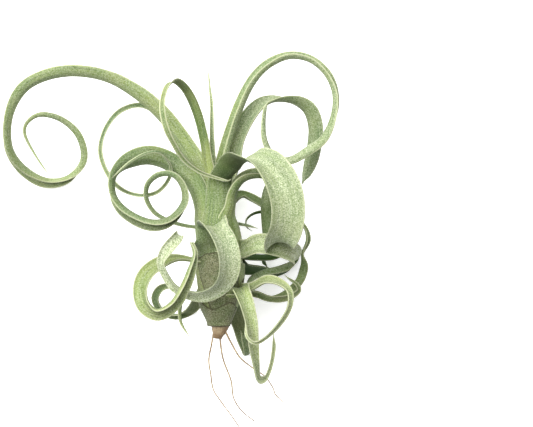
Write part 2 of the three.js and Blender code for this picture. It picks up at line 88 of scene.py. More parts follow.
# %% Stem and roots
STEM = [
    (27.5, -45, 49, 6.5), (28, -35, 50, 9.5), (28.5, -24, 50, 12), (28, -11, 50, 13), (27, 1, 50, 12.5),
    (25.5, 12.5, 50, 11.5), (25.5, 23.5, 50, 10.5), (25, 31.5, 50, 9.5), (24.5, 36.5, 50, 7),
    (24.5, 40.5, 50, 3.5),
]
ROOTS = [
    [
        (24.5, -49.5, 46), (23, -58, 46), (21.5, -66.5, 44), (22.5, -74.5, 43), (24, -83.5, 42),
        (29, -91.5, 40), (35, -100, 38), (40.5, -108.5, 36),
    ],
    [
        (27.5, -49.5, 48), (28.5, -59.5, 48), (30, -67, 47), (34, -78, 45), (35.5, -88, 44),
        (40, -95.5, 42), (47, -101.5, 40),
    ],
    [
        (30, -48, 50), (34, -56, 50), (39, -64.5, 49), (46, -70.5, 48), (53, -75.5, 46),
        (57.5, -82, 44), (59, -86, 43), (63.5, -91, 41),
    ],
]
ROOT_KNOT = [(26.5, -54, 48, 2.2), (27.5, -49, 48.5, 4.4), (28.5, -43, 49, 6)]
print("stem points:", len(STEM), "roots:", len(ROOTS))

# %% [markdown]
# A leaf is: its name, its bearing round the stem in degrees from the front over the right, the
# angles of its channel at even steps from base to tip, its sheath (length below the first
# point, degrees that it wraps, lift off the stem, and millimetres up the leaf at which it starts
# to peel off), its tone and its route. The tone is how young, how dusty and how dry the leaf
# looks, then how much painted shade, as deep green, lies on its channelled face, on its back and
# on its back near the stem, each from 0 to about 1. A row of the route is x, y, z of the midline,
# the width of the blade and the degrees that it is rolled about the midline.

# %% Leaves
LEAVES = [
    ("front_drooping_leaf", 355, (130, 110, 90, 80, 90, 130, 160),
     (18, 150, -1.1, 17), (0.35, 1.2, 0.12, 0, 0.8, 0.6), [
        (25, -26.5, 61, 24, 5), (24.5, -12.5, 62, 23, 25), (24.5, -0.5, 63, 21.5, 40),
        (24.5, 9, 67, 19.5, 35), (25, 9, 76, 18.5, -5), (30, 2, 83, 18, -10), (33, -7.5, 85, 17, -10),
        (32.5, -17.5, 83, 15.5, -5), (27.5, -24.5, 79, 13.5, 0), (19, -28.5, 75, 11.5, 10),
        (10.5, -27.5, 73, 9.5, 15), (4, -24, 75, 8, 10), (-0.5, -17.5, 77, 7, 8),
        (-3, -10.5, 79, 6, 23), (0, -4, 80, 8, 36), (4.5, 1.5, 77, 8, 42), (6.3, 4.4, 71, 6, 42),
        (5, 2.8, 66, 4, 42), (2.5, -0.5, 62, 1.5, 42),
    ]),
    ("front_right_coil_leaf", 20, (150, 90, 120),
     (20, 95, 0.5, 18), (0.45, 0.95, 0.1, 0, 0.95, 0.5), [
        (27.5, 11.5, 61, 22, 5), (29.5, 23, 62, 22, 10), (31.5, 34, 64, 21, 15),
        (35.5, 42.5, 69, 20, 15), (40.5, 46, 77, 20, 15), (46, 46.5, 87, 20, 30),
        (54, 43, 95.7, 20, 40), (61.5, 33.5, 100.5, 20, 60), (65.5, 21.5, 100.5, 20, 75),
        (65, 9.5, 95, 19.5, 80), (61.5, 1.5, 85, 18.5, 75), (59.5, 0, 72, 17, 35), (56, 7, 63, 14, 10),
        (53.5, 19.5, 62, 11, -10), (54.5, 29.5, 68, 7, -15), (58, 33.5, 75, 3.5, -30),
    ]),
    ("front_right_arched_leaf", 60, (150, 160, 170, 160, 140),
     (14, 105, 0.5, 0), (0.5, 0.6, 0.2, 0, 0.25, 0.1), [
        (33.5, 8, 56, 17, 10), (34.5, 19, 58, 16, 20), (35.5, 28, 59, 15, 30), (40.5, 35, 60, 14, 35),
        (48, 37.5, 60, 13, 45), (57, 36, 58, 12, 55), (64, 28.5, 55, 10, 60), (67, 19.5, 51, 8, 65),
        (64, 12, 48, 5.5, 75), (58, 11.5, 46, 2.5, 80),
    ]),
    ("forward_looped_leaf", 330, (140, 110, 150),
     (14, 80, 0.1, 0), (0.6, 0.45, 0.15, 0, 0.3, 0), [
        (24.5, 26.5, 53, 11, -5), (21, 43, 53, 8.5, -10), (18.5, 58.5, 54, 7, 0),
        (15, 72.5, 57, 6.5, 10), (10, 83.5, 63, 6, 20), (4.5, 88, 74, 5.5, 25), (0.5, 84, 86, 4.5, 15),
        (-1.5, 74, 93, 4, 10), (0.5, 62, 93, 4, 5), (4.5, 53, 88, 3.5, 0), (9.5, 45, 81, 3, -10),
        (17, 39, 75, 2.5, -20), (25, 36, 71, 2, -25), (32.5, 34, 68, 1.5, -35), (34.5, 35, 67, 1, -40),
    ]),
    ("left_coil_leaf", 300, (140, 130, 90, 165, 180, 165, 150, 150, 150),
     (20, 80, -0.3, 0), (0.3, 0.65, 0.1, 0.35, 0.4, 0.2), [
        (17, 9, 57, 19, 0), (16.5, 22, 55.5, 18, 5), (12.5, 33, 55, 17, 15), (5.5, 40, 55, 15.5, 25),
        (-3.5, 45.5, 55, 15, 25), (-13, 47.5, 56, 14.5, 25), (-23.5, 44, 57, 13, 15),
        (-30.5, 37, 58, 11, -10), (-31, 27, 60, 11.5, -20), (-26, 19, 62, 13.5, -25),
        (-17, 13, 64, 14, -30), (-7.5, 10.5, 66, 13.5, -25), (1.5, 13, 67, 12, -10),
        (8.5, 21.5, 67, 10, 10), (8, 30.5, 66, 8, 15), (2.5, 37, 65, 6.5, 15), (-5.5, 37, 63, 6, 10),
        (-11.5, 32, 60, 5.5, -5), (-12.5, 24.5, 57, 5, -20), (-8.5, 17, 53, 4.5, -35),
        (-1.5, 12.5, 48, 4, -45), (7.5, 9.5, 42, 4, -55), (17.5, 8.5, 36, 3.5, -55),
        (30.5, 11, 33, 3, -50), (41.5, 9.5, 33, 2.5, -40), (49, 7.5, 35, 1, -25),
    ]),
    ("far_left_coil_leaf", 262, (110, 110, 100, 150, 180, 160, 150),
     (16, 190, -0.35, 0), (0.7, 0.7, 0.1, 0, 0.15, 0.1), [
        (23.5, 21, 48, 17, 5), (18, 38.5, 46, 16, 35), (8, 53.5, 45, 15, 50), (-3.5, 69.5, 46, 14, 50),
        (-16.5, 81.5, 48, 13, 50), (-34, 91.5, 50, 11.5, 45), (-53, 95, 51, 11, 45),
        (-70.5, 92.5, 49, 10.5, 45), (-83.5, 85, 45, 11, 30), (-91.7, 70, 39, 12, -5),
        (-93.1, 53.5, 30, 13.5, -35), (-87, 42, 17, 13.5, -65), (-75.5, 35, 7.5, 12.5, -90),
        (-62.5, 37, 6, 10, -80), (-53.5, 47.5, 10, 7.5, -15), (-55, 60.5, 18, 6.5, 15),
        (-63.5, 69.5, 25, 5.5, 30), (-74.5, 72.5, 29, 4.5, 35), (-82, 69, 30, 3.5, 35),
        (-84.5, 62, 29, 3, 20), (-79.5, 50.5, 26, 2, 15), (-71.5, 38, 23, 1, 15),
    ]),
    ("tall_right_loop_leaf", 100, (140, 150, 150),
     (14, 150, -0.5, 0), (0.4, 0.75, 0.05, 0.15, 0, 0), [
        (26, 23.5, 47, 16, 10), (29, 43, 44, 15.5, 10), (33.5, 60, 42, 15, 10), (39, 76, 42, 14.5, 10),
        (45.5, 89.5, 41, 14, 10), (54, 99.2, 40, 13, 15), (66, 104.9, 40, 12, 10),
        (78, 103.4, 40, 11, 10), (87.5, 95.7, 41, 10.5, 10), (92.5, 84.5, 42, 10.5, 0),
        (92, 72, 43, 10.5, -10), (86.5, 59.5, 44, 10, -35), (78, 52.5, 44, 9, -55),
        (67.5, 46.5, 44, 7.5, -60), (58.5, 48, 45, 6, -65), (53.5, 56.5, 47, 5, -70),
        (52.5, 66, 49, 4, -70), (53.5, 75.5, 51, 3, -75), (56, 79.5, 51, 1.5, -75),
    ]),
    ("right_arch_leaf", 135, (130, 90, 140),
     (14, 160, -0.4, 0), (0.25, 0.85, 0.1, 0, 0.5, 0), [
        (29, 23.5, 42, 18, 0), (35, 43, 37, 17, 0), (38, 57.5, 34, 15.5, 0), (45, 71.5, 32, 14.5, 0),
        (54, 80, 30, 13.5, -10), (66.5, 81, 29, 13, -40), (77.5, 76, 28, 12, -75),
        (81.5, 65.5, 27, 11.5, -85), (80.5, 53, 27, 11, -90), (78, 43, 27, 9.5, -90),
        (74.5, 33, 28, 3, -85),
    ]),
    ("thin_left_loop_leaf", 235, (120, 110, 140),
     (12, 130, -0.2, 0), (0.1, 0.5, 0.1, 0.3, 0.3, 0.3), [
        (21, 15, 42, 13, 0), (16.5, 30.5, 38, 11, -15), (9.5, 47.5, 34, 9, -30), (0, 65, 31, 6.5, -40),
        (-9.5, 74.5, 30, 4.5, -50), (-19.5, 78, 30, 3.5, -50), (-30.5, 74, 31, 3.5, -55),
        (-38, 64, 33, 3, -55), (-40.5, 52, 36, 3, -50), (-37, 40.5, 39, 3, -40),
        (-29.5, 31, 43, 3, -25), (-19, 26.5, 48, 2.5, -10), (-8, 27.5, 53, 2.5, 0),
        (-1, 34, 56, 2.5, 0), (1, 42, 60, 2, -20), (-4, 49, 68, 2, -60), (-11.5, 49, 72.5, 1.5, -90),
        (-20.5, 44, 73, 1.5, -110), (-30.5, 35.5, 71, 1, -125),
    ]),
    ("centre_spear_leaf", 200, (150, 150, 150),
     (10, 90, -0.8, 0), (0.3, 0.7, 0, 0, 0.1, 0.1), [
        (24.5, 29, 47, 8, 5), (23.5, 46, 45, 5, 15), (23, 63, 44, 3.5, 15), (23, 77, 43, 2.5, 5),
        (22, 87, 42, 1.5, 0), (21, 97.6, 41, 1, -5),
    ]),
    ("right_folded_leaf", 75, (150, 80, 120),
     (14, 140, 0.2, 0), (0.5, 1, 0.15, 0, 0.6, 0.1), [
        (35, -11, 57, 16, 5), (41.5, -6, 61, 15, 25), (49.5, -1.5, 65, 14.5, 40),
        (59, -2.5, 66, 14, 40), (67.5, -5.5, 62, 13, 45), (70.5, -8, 53, 11.5, 65),
        (68, -12, 45, 10.5, 75), (61, -15, 41, 9, 75), (52.5, -17, 41, 7.5, 75),
        (45.5, -20.5, 42, 6, 75), (42.5, -27, 45, 3, 70),
    ]),
    ("lower_left_coil_leaf", 290, (150, 130, 130, 165, 165, 140, 130),
     (2, 40, -4, -8), (0.85, 0.6, 0.12, 0.05, 0.1, 0.1), [
        (20.5, -12, 57, 5, 0), (13.5, -10, 60, 6.5, -5), (5, -9, 63, 8.5, -10),
        (-3.5, -11.5, 66, 11.5, -25), (-11, -17, 70, 12, -30), (-14, -25, 73, 12, -15),
        (-12, -33.5, 76, 12.5, 5), (-5, -38, 78, 12.5, 30), (3, -33.5, 79, 12.5, 45),
        (8.5, -25, 80, 12, 50), (12.5, -15.5, 79, 10.5, 50), (15, -6, 75, 6, 45),
        (12.8, 0, 66, 2.5, -15), (13.8, -5.5, 53, 3.5, -90), (12.5, -13.5, 46, 3.5, -85),
        (9, -25, 46, 3.5, -70), (6, -35, 51, 3.5, -55), (6.5, -44.5, 57, 2.5, -40),
        (12, -53, 62, 1, -40),
    ]),
    ("lower_hanging_leaf", 30, (150, 90, 130),
     (12, 150, 0.3, 0), (1, 0.75, 0.1, 0, 0.1, 0.1), [
        (31.5, -32, 57, 18, 0), (37, -24.5, 64, 16, 0), (39.5, -26.5, 71, 13, 0),
        (43, -34.5, 75, 11, 0), (45.5, -45, 76, 9.5, -5), (46.5, -55.5, 75, 8.5, -10),
        (48, -66.5, 72, 7, -20), (49.5, -75, 66, 5.5, -35), (53.5, -75, 59, 4, -35),
        (56.5, -68, 53, 3.5, -40), (58, -59, 51, 3, -55), (58, -51.5, 52, 1.5, -65),
    ]),
    ("lower_right_loop_leaf", 85, (150, 90, 140),
     (10, 140, 0.2, 0), (0.6, 0.65, 0.15, 0, 0.2, 0.2), [
        (32.5, -32.5, 52, 16, 0), (39.5, -28, 56, 11, 0), (46.5, -25, 59, 9.5, -5),
        (54, -21, 62, 8.5, -5), (61.5, -22.5, 66, 7.5, -20), (66.5, -27.5, 70, 6.5, -45),
        (66, -35.5, 74, 5.5, -60), (61, -43.5, 79, 4.5, -65), (54, -50.5, 84, 3.5, -70),
        (48, -53.5, 86, 3, -70), (43.5, -50, 85, 2.5, -65), (42.5, -42.5, 82, 1, -55),
    ]),
    ("lower_right_tendril_leaf", 95, (140, 90, 130),
     (10, 110, 0.1, 0), (0.5, 0.4, 0.2, 0.2, 0.4, 0.4), [
        (31, -26.5, 47, 10, 0), (40, -27.5, 46.5, 8, -5), (48.5, -29, 45, 7, -15),
        (55, -31.5, 44, 6, -20), (62, -32, 43, 5.5, -30), (68, -30.5, 42, 5, -30),
        (72, -27.5, 42, 4, -25), (71, -24, 43, 3, -20), (67, -21, 44, 2, -15), (64, -18.5, 45, 1, -20),
    ]),
    ("rear_right_loop_leaf", 120, (130, 90, 100, 150, 90, 120),
     (14, 130, -0.2, 0), (0.5, 0.4, 0.1, 0.3, 0.4, 0.7), [
        (31, 5.5, 45, 16, 0), (32, 18, 41, 14, 10), (38.5, 26, 37, 11, 20), (45.5, 24.5, 34, 9, 45),
        (55.5, 19, 31, 8, 50), (68, 13.5, 30, 7, 50), (75.5, 8.5, 31, 4.5, 35), (77.5, 1, 33, 6, 25),
        (74.5, -7, 34, 4, 0), (75, -14.5, 35, 6.5, -55), (72, -23, 36, 6, -60),
        (63.5, -30, 36, 4.5, -60), (54.5, -32, 35, 3.5, -50), (46.5, -27.5, 36, 1.5, -45),
    ]),
    ("rear_right_coil_leaf", 140, (140, 90, 130),
     (14, 130, 0.2, 0), (0.2, 0.03, 0.05, 1, 1, 1), [
        (31, -2.5, 43, 12, 5), (38, -7.5, 37, 10, 25), (47, -8.5, 29, 8.5, 40), (57, -8.5, 21, 7.5, 40),
        (66, -4.5, 16, 6.5, 35), (71.5, 3, 13, 5.5, 30), (69.5, 11, 14, 4.5, 35), (63, 15.5, 17, 4, 45),
        (54.5, 17, 20, 3, 45), (47, 16, 23, 2.5, 50), (42.5, 12.5, 25, 2, 50), (42.5, 8.5, 27, 1.5, 30),
        (45.5, 6, 28, 1, 10),
    ]),
    ("rear_right_foot_leaf", 150, (140, 90, 130),
     (14, 130, 0.2, 0), (0.2, 0.03, 0.05, 1, 1, 1), [
        (32.5, -11.5, 43, 13, 0), (40, -14.5, 37, 11, 10), (49.5, -16, 28, 10, 15),
        (59, -18, 17, 9, 15), (67, -16, 8, 8, 15), (71, -11, 2.5, 7.5, 15), (68, -6, 0.5, 7, 10),
        (61.5, -5, 3.5, 6, 10), (55.5, -7, 9, 5, 5), (52.5, -11.5, 16, 3.5, 5), (54.5, -15, 23, 1.5, 0),
    ]),
    ("rear_upper_foot_leaf", 180, (130, 90, 130),
     (14, 130, 0.2, 0), (0.5, 0.6, 0.1, 0, 0.2, 0.1), [
        (25.5, 8, 40, 16, 0), (25.5, 21, 36, 15, 0), (24.5, 31, 29, 14, 0), (24, 37.5, 18, 12.5, 0),
        (23.5, 38.5, 7, 11, 0), (23.5, 33.5, 1, 10, 0), (23.5, 25.5, 1, 8.5, 0), (24, 19, 6, 7.5, 0),
        (24.5, 17, 14, 6, 0), (25, 21, 20, 5, 0), (25, 26.5, 21, 3.5, 0), (24.5, 31, 18, 1.5, 0),
    ]),
    ("rear_lower_left_foot_leaf", 205, (140, 90, 130),
     (14, 130, 0.2, 0), (0.4, 0.45, 0.2, 0.5, 0.5, 0.5), [
        (25.5, -9, 40, 15, 0), (23, -16, 33, 13.5, 0), (19, -24.5, 24, 12, 0), (14, -34, 13, 11, 0),
        (8, -41.5, 4.5, 9.5, 0), (0, -44.5, 0.5, 8.5, 0), (-7.5, -41.5, 2.5, 7.5, 0),
        (-11, -34, 8, 6.5, 0), (-7.5, -27.5, 14, 5, 0), (-1, -26, 18, 3.5, 0), (3.5, -30, 19, 1.5, 0),
    ]),
    ("rear_lower_right_foot_leaf", 165, (140, 90, 130),
     (14, 130, 0.2, 0), (0.4, 0.45, 0.2, 0.5, 0.5, 0.5), [
        (28, -11.5, 40, 15, 0), (31, -21.5, 32, 13.5, 0), (33.5, -32.5, 21, 12, 0),
        (36, -42, 10, 11, 0), (38.5, -50.5, 3, 9.5, 0), (40, -57.5, 0.5, 8.5, 0), (42, -63.5, 3, 7, 0),
        (43, -66, 9, 6, 0), (42.5, -63.5, 15.5, 4.5, 0), (41, -57.5, 19, 3, 0), (39, -52, 18, 1.5, 0),
    ]),
]
print("leaves:", len(LEAVES), "rows:", sum(len(leaf[5]) for leaf in LEAVES))

# %% [markdown]
# ## Smooth paths
#
# Each leaf and root is given by a few points. A Catmull-Rom curve goes through all of
# them, and every column of the table (height, width, roll) is smoothed along with the place.
# More stations are laid where the path turns, so that the tight curls at the tips stay round.
# The normals follow the path with no twist of their own, because a leaf's rolls are measured
# from them.

# %% Curve through rows of numbers
STATION_TURN = 7.0       # degrees of turn that call for another station, however short the way
STRAIGHT = 1e-12         # a change of direction below this, squared, is none


def place(row):
    return Vector(row[:3])


def square_to(tangent, vector):
    """The vector's part at right angles to the tangent, one long."""
    return (vector - tangent * vector.dot(tangent)).normalized()


def smooth_rows(rows, spacing):
    """Catmull-Rom through rows of numbers, all columns alike, a station every so many mm."""
    def beyond(end, inner):
        return [2 * a - b for a, b in zip(end, inner)]
    padded = [beyond(rows[0], rows[1]), *rows, beyond(rows[-1], rows[-2])]
    stations = []
    for before, start, end, after in zip(padded, padded[1:], padded[2:], padded[3:]):
        bend = (place(end) - place(before)).angle(place(after) - place(start))
        length = (place(end) - place(start)).length
        steps = math.ceil(max(length / spacing, math.degrees(bend) / STATION_TURN))
        for step in range(steps):
            t = step / steps
            stations.append([
                b + 0.5 * t * (c - a + t * (2 * a - 5 * b + 4 * c - d + t * (3 * b - a - 3 * c + d)))
                for a, b, c, d in zip(before, start, end, after)])
    return stations + [list(rows[-1])]


def path_frames(points, first_normal):
    """Tangents, and normals that follow the path with no twist of their own."""
    last = len(points) - 1
    tangents = [(points[min(i + 1, last)] - points[max(i - 1, 0)]).normalized()
                for i in range(last + 1)]

    def mirrored(vector, axis):
        return vector - axis * (2 * axis.dot(vector) / axis.length_squared)

    normals = [square_to(tangents[0], first_normal)]
    for i in range(last):
        chord = points[i + 1] - points[i]
        normal = mirrored(normals[i], chord)
        twist = tangents[i + 1] - mirrored(tangents[i], chord)
        if twist.length_squared > STRAIGHT:
            normal = mirrored(normal, twist)
        normals.append(square_to(tangents[i + 1], normal))
    return tangents, normals


STEM_STATIONS = smooth_rows(STEM, 1.0)
print("stem stations:", len(STEM_STATIONS), "from y =", STEM[0][1], "to", STEM[-1][1], "mm")

# %% [markdown]
# ## Small helpers for node trees
#
# Both kinds of tree that this script builds, geometry and material, are made of nodes and
# links. `add` makes a node and fills its sockets: a socket of another node is linked, and
# anything else is set as the socket's own value. The others shorten the commonest nodes to one
# line, so that a formula in a tree reads almost like a formula on paper.

# %% Node helpers
def fill(tree, socket, value):
    """Links a socket to another one, or sets its own value."""
    if isinstance(value, bpy.types.NodeSocket):
        tree.links.new(value, socket)
    else:
        socket.default_value = value


def add(tree, kind, inputs=None, **settings):
    """A new node, with its settings and its input sockets, by name or by number."""
    node = tree.nodes.new(kind)
    for name, value in settings.items():
        setattr(node, name, value)
    for key, value in (inputs or {}).items():
        fill(tree, node.inputs[key], value)
    return node


def maths(tree, operation, *values):
    return add(tree, "ShaderNodeMath", dict(enumerate(values)), operation=operation).outputs[0]


def times(tree, value, *factors):
    """All the values, multiplied."""
    for factor in factors:
        value = maths(tree, "MULTIPLY", value, factor)
    return value


def between(tree, amount, low, high):
    """low where the amount is 0, high where it is 1."""
    return maths(tree, "MULTIPLY_ADD", maths(tree, "SUBTRACT", high, low), amount, low)


def vectors(tree, operation, *values):
    """A vector calculation. SCALE takes its factor as the second value."""
    node = add(tree, "ShaderNodeVectorMath", operation=operation)
    slots = [node.inputs[0], node.inputs["Scale"]] if operation == "SCALE" else node.inputs
    for slot, value in zip(slots, values):
        fill(tree, slot, value)
    return node.outputs["Vector"]


def combined(tree, x=0.0, y=0.0, z=0.0):
    return add(tree, "ShaderNodeCombineXYZ", {"X": x, "Y": y, "Z": z}).outputs[0]


def split(tree, vector):
    return add(tree, "ShaderNodeSeparateXYZ", {"Vector": vector}).outputs


def noise(tree, vector, scale, detail=2.0, roughness=0.5):
    return add(tree, "ShaderNodeTexNoise", {
        "Vector": vector, "Scale": scale, "Detail": detail, "Roughness": roughness}).outputs[0]


print("node helpers ready")

# %% [markdown]
# ## Growing a piece from a tree
#
# A geometry tree works as a modifier on a mesh whose points carry numbers, such as the width
# of a leaf at that place. `grow` lends the mesh to an object for as long as the tree runs, and
# keeps the result as a plain mesh, so that no modifier is left. It sets the tree's inputs by
# their sockets' identifiers, the only names that a modifier knows. Every tree ends in the same
# two nodes: Realize Instances, because the export drops instances, and Set Material.

# %% Tree and mesh helpers
def new_tree(name, sockets):
    """A geometry tree with its group nodes. sockets lists (name, type, default)."""
    tree = bpy.data.node_groups.new(name, "GeometryNodeTree")
    tree.interface.new_socket("Geometry", in_out="INPUT", socket_type="NodeSocketGeometry")
    for label, kind, default in sockets:
        socket = tree.interface.new_socket(label, in_out="INPUT", socket_type="NodeSocket" + kind)
        if default is not None:
            socket.default_value = default
    tree.interface.new_socket("Geometry", in_out="OUTPUT", socket_type="NodeSocketGeometry")
    return tree, tree.nodes.new("NodeGroupInput").outputs, tree.nodes.new("NodeGroupOutput")


def end_tree(tree, geometry, material, result):
    real = add(tree, "GeometryNodeRealizeInstances", {"Geometry": geometry}).outputs[0]
    dressed = add(tree, "GeometryNodeSetMaterial", {"Geometry": real, "Material": material}).outputs[0]
    tree.links.new(dressed, result.inputs[0])
    print(tree.name, "tree:", len(tree.nodes), "nodes")
    return tree


def named(tree, attribute, kind="FLOAT"):
    """Reads a number, or a vector, that the mesh's points carry."""
    node = add(tree, "GeometryNodeInputNamedAttribute", {"Name": attribute}, data_type=kind)
    return node.outputs["Attribute"]


def store(tree, geometry, attribute, value, kind="FLOAT"):
    node = add(tree, "GeometryNodeStoreNamedAttribute",
               {"Geometry": geometry, "Name": attribute, "Value": value},
               data_type=kind, domain="POINT")
    return node.outputs[0]


def grow(source, tree, name, **values):
    """Runs a geometry tree on a mesh and keeps the result as a plain mesh object."""
    holder = in_scene(name + "_source", source)
    modifier = holder.modifiers.new("grow", "NODES")
    modifier.node_group = tree
    for item in tree.interface.items_tree:
        if item.in_out == "INPUT" and item.name in values:
            modifier[item.identifier] = values[item.name]
    ready = holder.evaluated_get(bpy.context.evaluated_depsgraph_get())
    mesh = bpy.data.meshes.new_from_object(ready)
    bpy.data.objects.remove(holder)
    mesh.name = name
    return in_scene(name, mesh)


def mark(mesh, key, values):
    """Gives each point of a mesh a number, or a vector, under a name."""
    if isinstance(values[0], float):
        mesh.attributes.new(key, "FLOAT", "POINT").data.foreach_set("value", values)
    else:
        layer = mesh.attributes.new(key, "FLOAT_VECTOR", "POINT")
        layer.data.foreach_set("vector", [part for vector in values for part in vector])


def chain(name, points, closed=False):
    """A mesh of points joined in a row, or in a ring."""
    mesh = bpy.data.meshes.new(name)
    count = len(points)
    mesh.from_pydata(points, [(i, (i + 1) % count) for i in range(count if closed else count - 1)], [])
    return mesh


def triangles(piece):
    return sum(len(face.vertices) - 2 for face in piece.data.polygons)


print("tree and mesh helpers ready")

# %% [markdown]
# ## How a leaf meets the stem
#
# A real leaf has no stalk: its base is a broad sheath that clasps the stem, and the blade peels
# away from it. So each blade starts lower down than its first point, bent to the round of the
# stem, and opens into its own channel over the first centimetre. The older a leaf is, the
# further out its sheath lies, so each one gets a `lift` off the stem.

# %% Round the stem
CORE_DROP = 1.5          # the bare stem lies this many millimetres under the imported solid's skin


def stem_at(y):
    """Axis point and radius of the stem at a height along it."""
    for low, high in zip(STEM_STATIONS, STEM_STATIONS[1:]):
        if y <= high[1]:
            t = max(0.0, (y - low[1]) / (high[1] - low[1]))
            x, _, z, radius = [a + (b - a) * t for a, b in zip(low, high)]
            return Vector((x, y, z)), radius
    return place(STEM_STATIONS[-1]), STEM_STATIONS[-1][3]


def ray(bearing):
    """The direction of a bearing round the stem, in degrees."""
    return Vector((math.sin(math.radians(bearing)), 0, math.cos(math.radians(bearing))))


def away_from(axis, point):
    """The direction from the stem's axis to a point at the same height."""
    return Vector((point.x - axis.x, 0, point.z - axis.z)).normalized()


def ease(t):
    """0 up to t = 0, 1 from t = 1, and a soft rise between them."""
    t = min(max(t, 0.0), 1.0)
    return t * t * (3 - 2 * t)


print("stem radius half way up:", round(stem_at(0)[1], 1), "mm")

# %% [markdown]
# A station is one place along a leaf with all that the blade tree needs there. `up` points out
# of the channel, `side` across the blade, `bend` is the angle that the channel turns through
# from margin to margin, and `keel` is how far its floor lies behind the midline.

# %% Stations in the sheath
SHEATH_SPACING = 1.6
SINK_LENGTH = 6.0        # millimetres over which the lower end of a sheath sinks into the stem
SHEATH_NARROWING = 0.35  # part of its width that a sheath loses down to its lower end


def sheath_stations(start, length, wrap, lift):
    """Stations below the first point of the blade, bent to the round of the stem."""
    outward = away_from(stem_at(start.y)[0], start)
    stations = []
    for k in range(math.ceil(length / SHEATH_SPACING), 0, -1):
        down = k * SHEATH_SPACING
        axis, radius = stem_at(start.y - down)
        radius += lift - CORE_DROP * ease(1 - (length - down) / SINK_LENGTH)
        bend = math.radians(wrap) * (1 - SHEATH_NARROWING * ease(down / length))
        stations.append(dict(
            midline=axis + outward * radius, up=-outward, side=-outward.cross(Vector((0, 1, 0))),
            width=radius * bend, bend=bend, keel=0.0, thin=1.0, reach=-down, along=0.0))
    return stations


def clasp_stem(station, wrap, lift, share):
    """Moves a station of the blade onto the round of the stem, by a share of the way."""
    axis, radius = stem_at(station["midline"].y)
    outward = away_from(axis, station["midline"])
    radius += lift
    station["midline"] = station["midline"].lerp(axis + outward * radius, share)
    station["up"] = station["up"].lerp(-outward, share).normalized()
    station["bend"] += (math.radians(wrap) - station["bend"]) * share
    station["width"] += (radius * math.radians(wrap) - station["width"]) * share
    station["keel"] *= 1 - share


first_start, first_sheath = place(LEAVES[0][5][0]), LEAVES[0][3]
print("stations in the first sheath:", len(sheath_stations(first_start, *first_sheath[:3])))

# %% Bend of the channel
RIB_THICKNESS = 0.62
THICKNESS_PER_WIDTH = 0.05
SHORTEST_RADIUS = 1.4    # least radius of the channel, in leaf thicknesses
LEAST_BEND = 0.06        # a dead flat section has no radius, so this many radians are kept


def along_leaf(values, t):
    """The value at a fraction t of the leaf's length, of values at even steps along it."""
    steps = t * (len(values) - 1)
    step = min(int(steps), len(values) - 2)
    return values[step] + (values[step + 1] - values[step]) * (steps - step)


def channel_bend(width, degrees):
    """The bend of the channel in radians, neither dead flat nor rolled up too tight."""
    tightest = width / (SHORTEST_RADIUS * (RIB_THICKNESS + THICKNESS_PER_WIDTH * width))
    bend = max(-tightest, min(math.radians(degrees), tightest))
    return math.copysign(max(abs(bend), LEAST_BEND), bend)


print("a channel 3 mm wide bends by", round(math.degrees(channel_bend(3, 180))), "degrees at most")

# %% Stations of the whole leaf
STATION_SPACING = 1.6
PEEL_LENGTH = 14.0       # millimetres over which the blade peels off the stem
KEEL_SHARE = 0.35        # part of the channel's depth that lies behind the midline
LEAST_WIDTH = 1.0
TIP_LENGTH = 6.0         # millimetres over which the blade runs out to a point
TIP_SHARE = 0.35         # part of its width and thickness that the point keeps


def leaf_stations(bearing, channel, sheath, rows):
    """Everything that the blade tree needs at each station, as a list of dicts."""
    length, wrap, lift, peel_from = sheath
    route = smooth_rows(rows, STATION_SPACING)
    points = [place(row) for row in route]
    reach = [0.0]
    for a, b in zip(points, points[1:]):
        reach.append(reach[-1] + (b - a).length)
    whole = reach[-1]

    stations = sheath_stations(points[0], length, wrap, lift)
    for row, point, run, tangent, normal in zip(route, points, reach, *path_frames(points, -ray(bearing))):
        width, roll = max(row[3], LEAST_WIDTH), math.radians(row[4])
        bend = channel_bend(width, along_leaf(channel, run / whole))
        thin = TIP_SHARE + (1 - TIP_SHARE) * ease((whole - run) / TIP_LENGTH)
        station = dict(
            midline=point, up=normal * math.cos(roll) + tangent.cross(normal) * math.sin(roll),
            side=None, width=width, bend=bend, keel=KEEL_SHARE * (width / bend) * (1 - math.cos(bend / 2)),
            thin=thin, reach=run, along=run / whole)
        clasp = 1 - ease((run - peel_from) / PEEL_LENGTH)
        if clasp > 0:
            clasp_stem(station, wrap, lift, clasp)
        station["width"] *= thin
        stations.append(station)

    last = len(stations) - 1
    for i, station in enumerate(stations):
        if station["side"] is None:
            tangent = (stations[min(i + 1, last)]["midline"] - stations[i - 1]["midline"]).normalized()
            station["up"] = square_to(tangent, station["up"])
            station["side"] = station["up"].cross(tangent)
    return stations


def spine_mesh(name, stations, tone):
    """A string of points that carries the numbers of each station."""
    mesh = chain(name, [station["midline"] * MM for station in stations])
    for key in ("width", "keel", "reach"):
        mark(mesh, key, [station[key] * MM for station in stations])
    for key in ("bend", "thin", "along", "side", "up"):
        mark(mesh, key, [station[key] for station in stations])
    mark(mesh, "tone", [tone[:3]] * len(stations))
    # The last three numbers of the tone say how much shade is painted on the leaf.
    mark(mesh, "painted_shade", [tone[3:]] * len(stations))
    return mesh


print("stations of the first leaf:", len(leaf_stations(*LEAVES[0][1:4], LEAVES[0][5])))

# %% [markdown]
# ## The blade: one section, swept along a leaf
#
# Across, the blade is a channel of even curve, thickest at its midline, with rounded margins.
# It could be lofted ring by ring in Python, but a sweep in Geometry Nodes says the rule once for
# all leaves: a template of the section is carried along the spine, and each point is then put
# where its place across the blade says. The template's points carry three numbers: `body`, the
# place across from -1 to 1, `face`, 1 on the channelled face and -1 on the back, and `bead`,
# how far it stands out round the margin.

# %% Section template
SECTION_POINTS = 17
BEAD_ANGLES = (50, 0, -50)


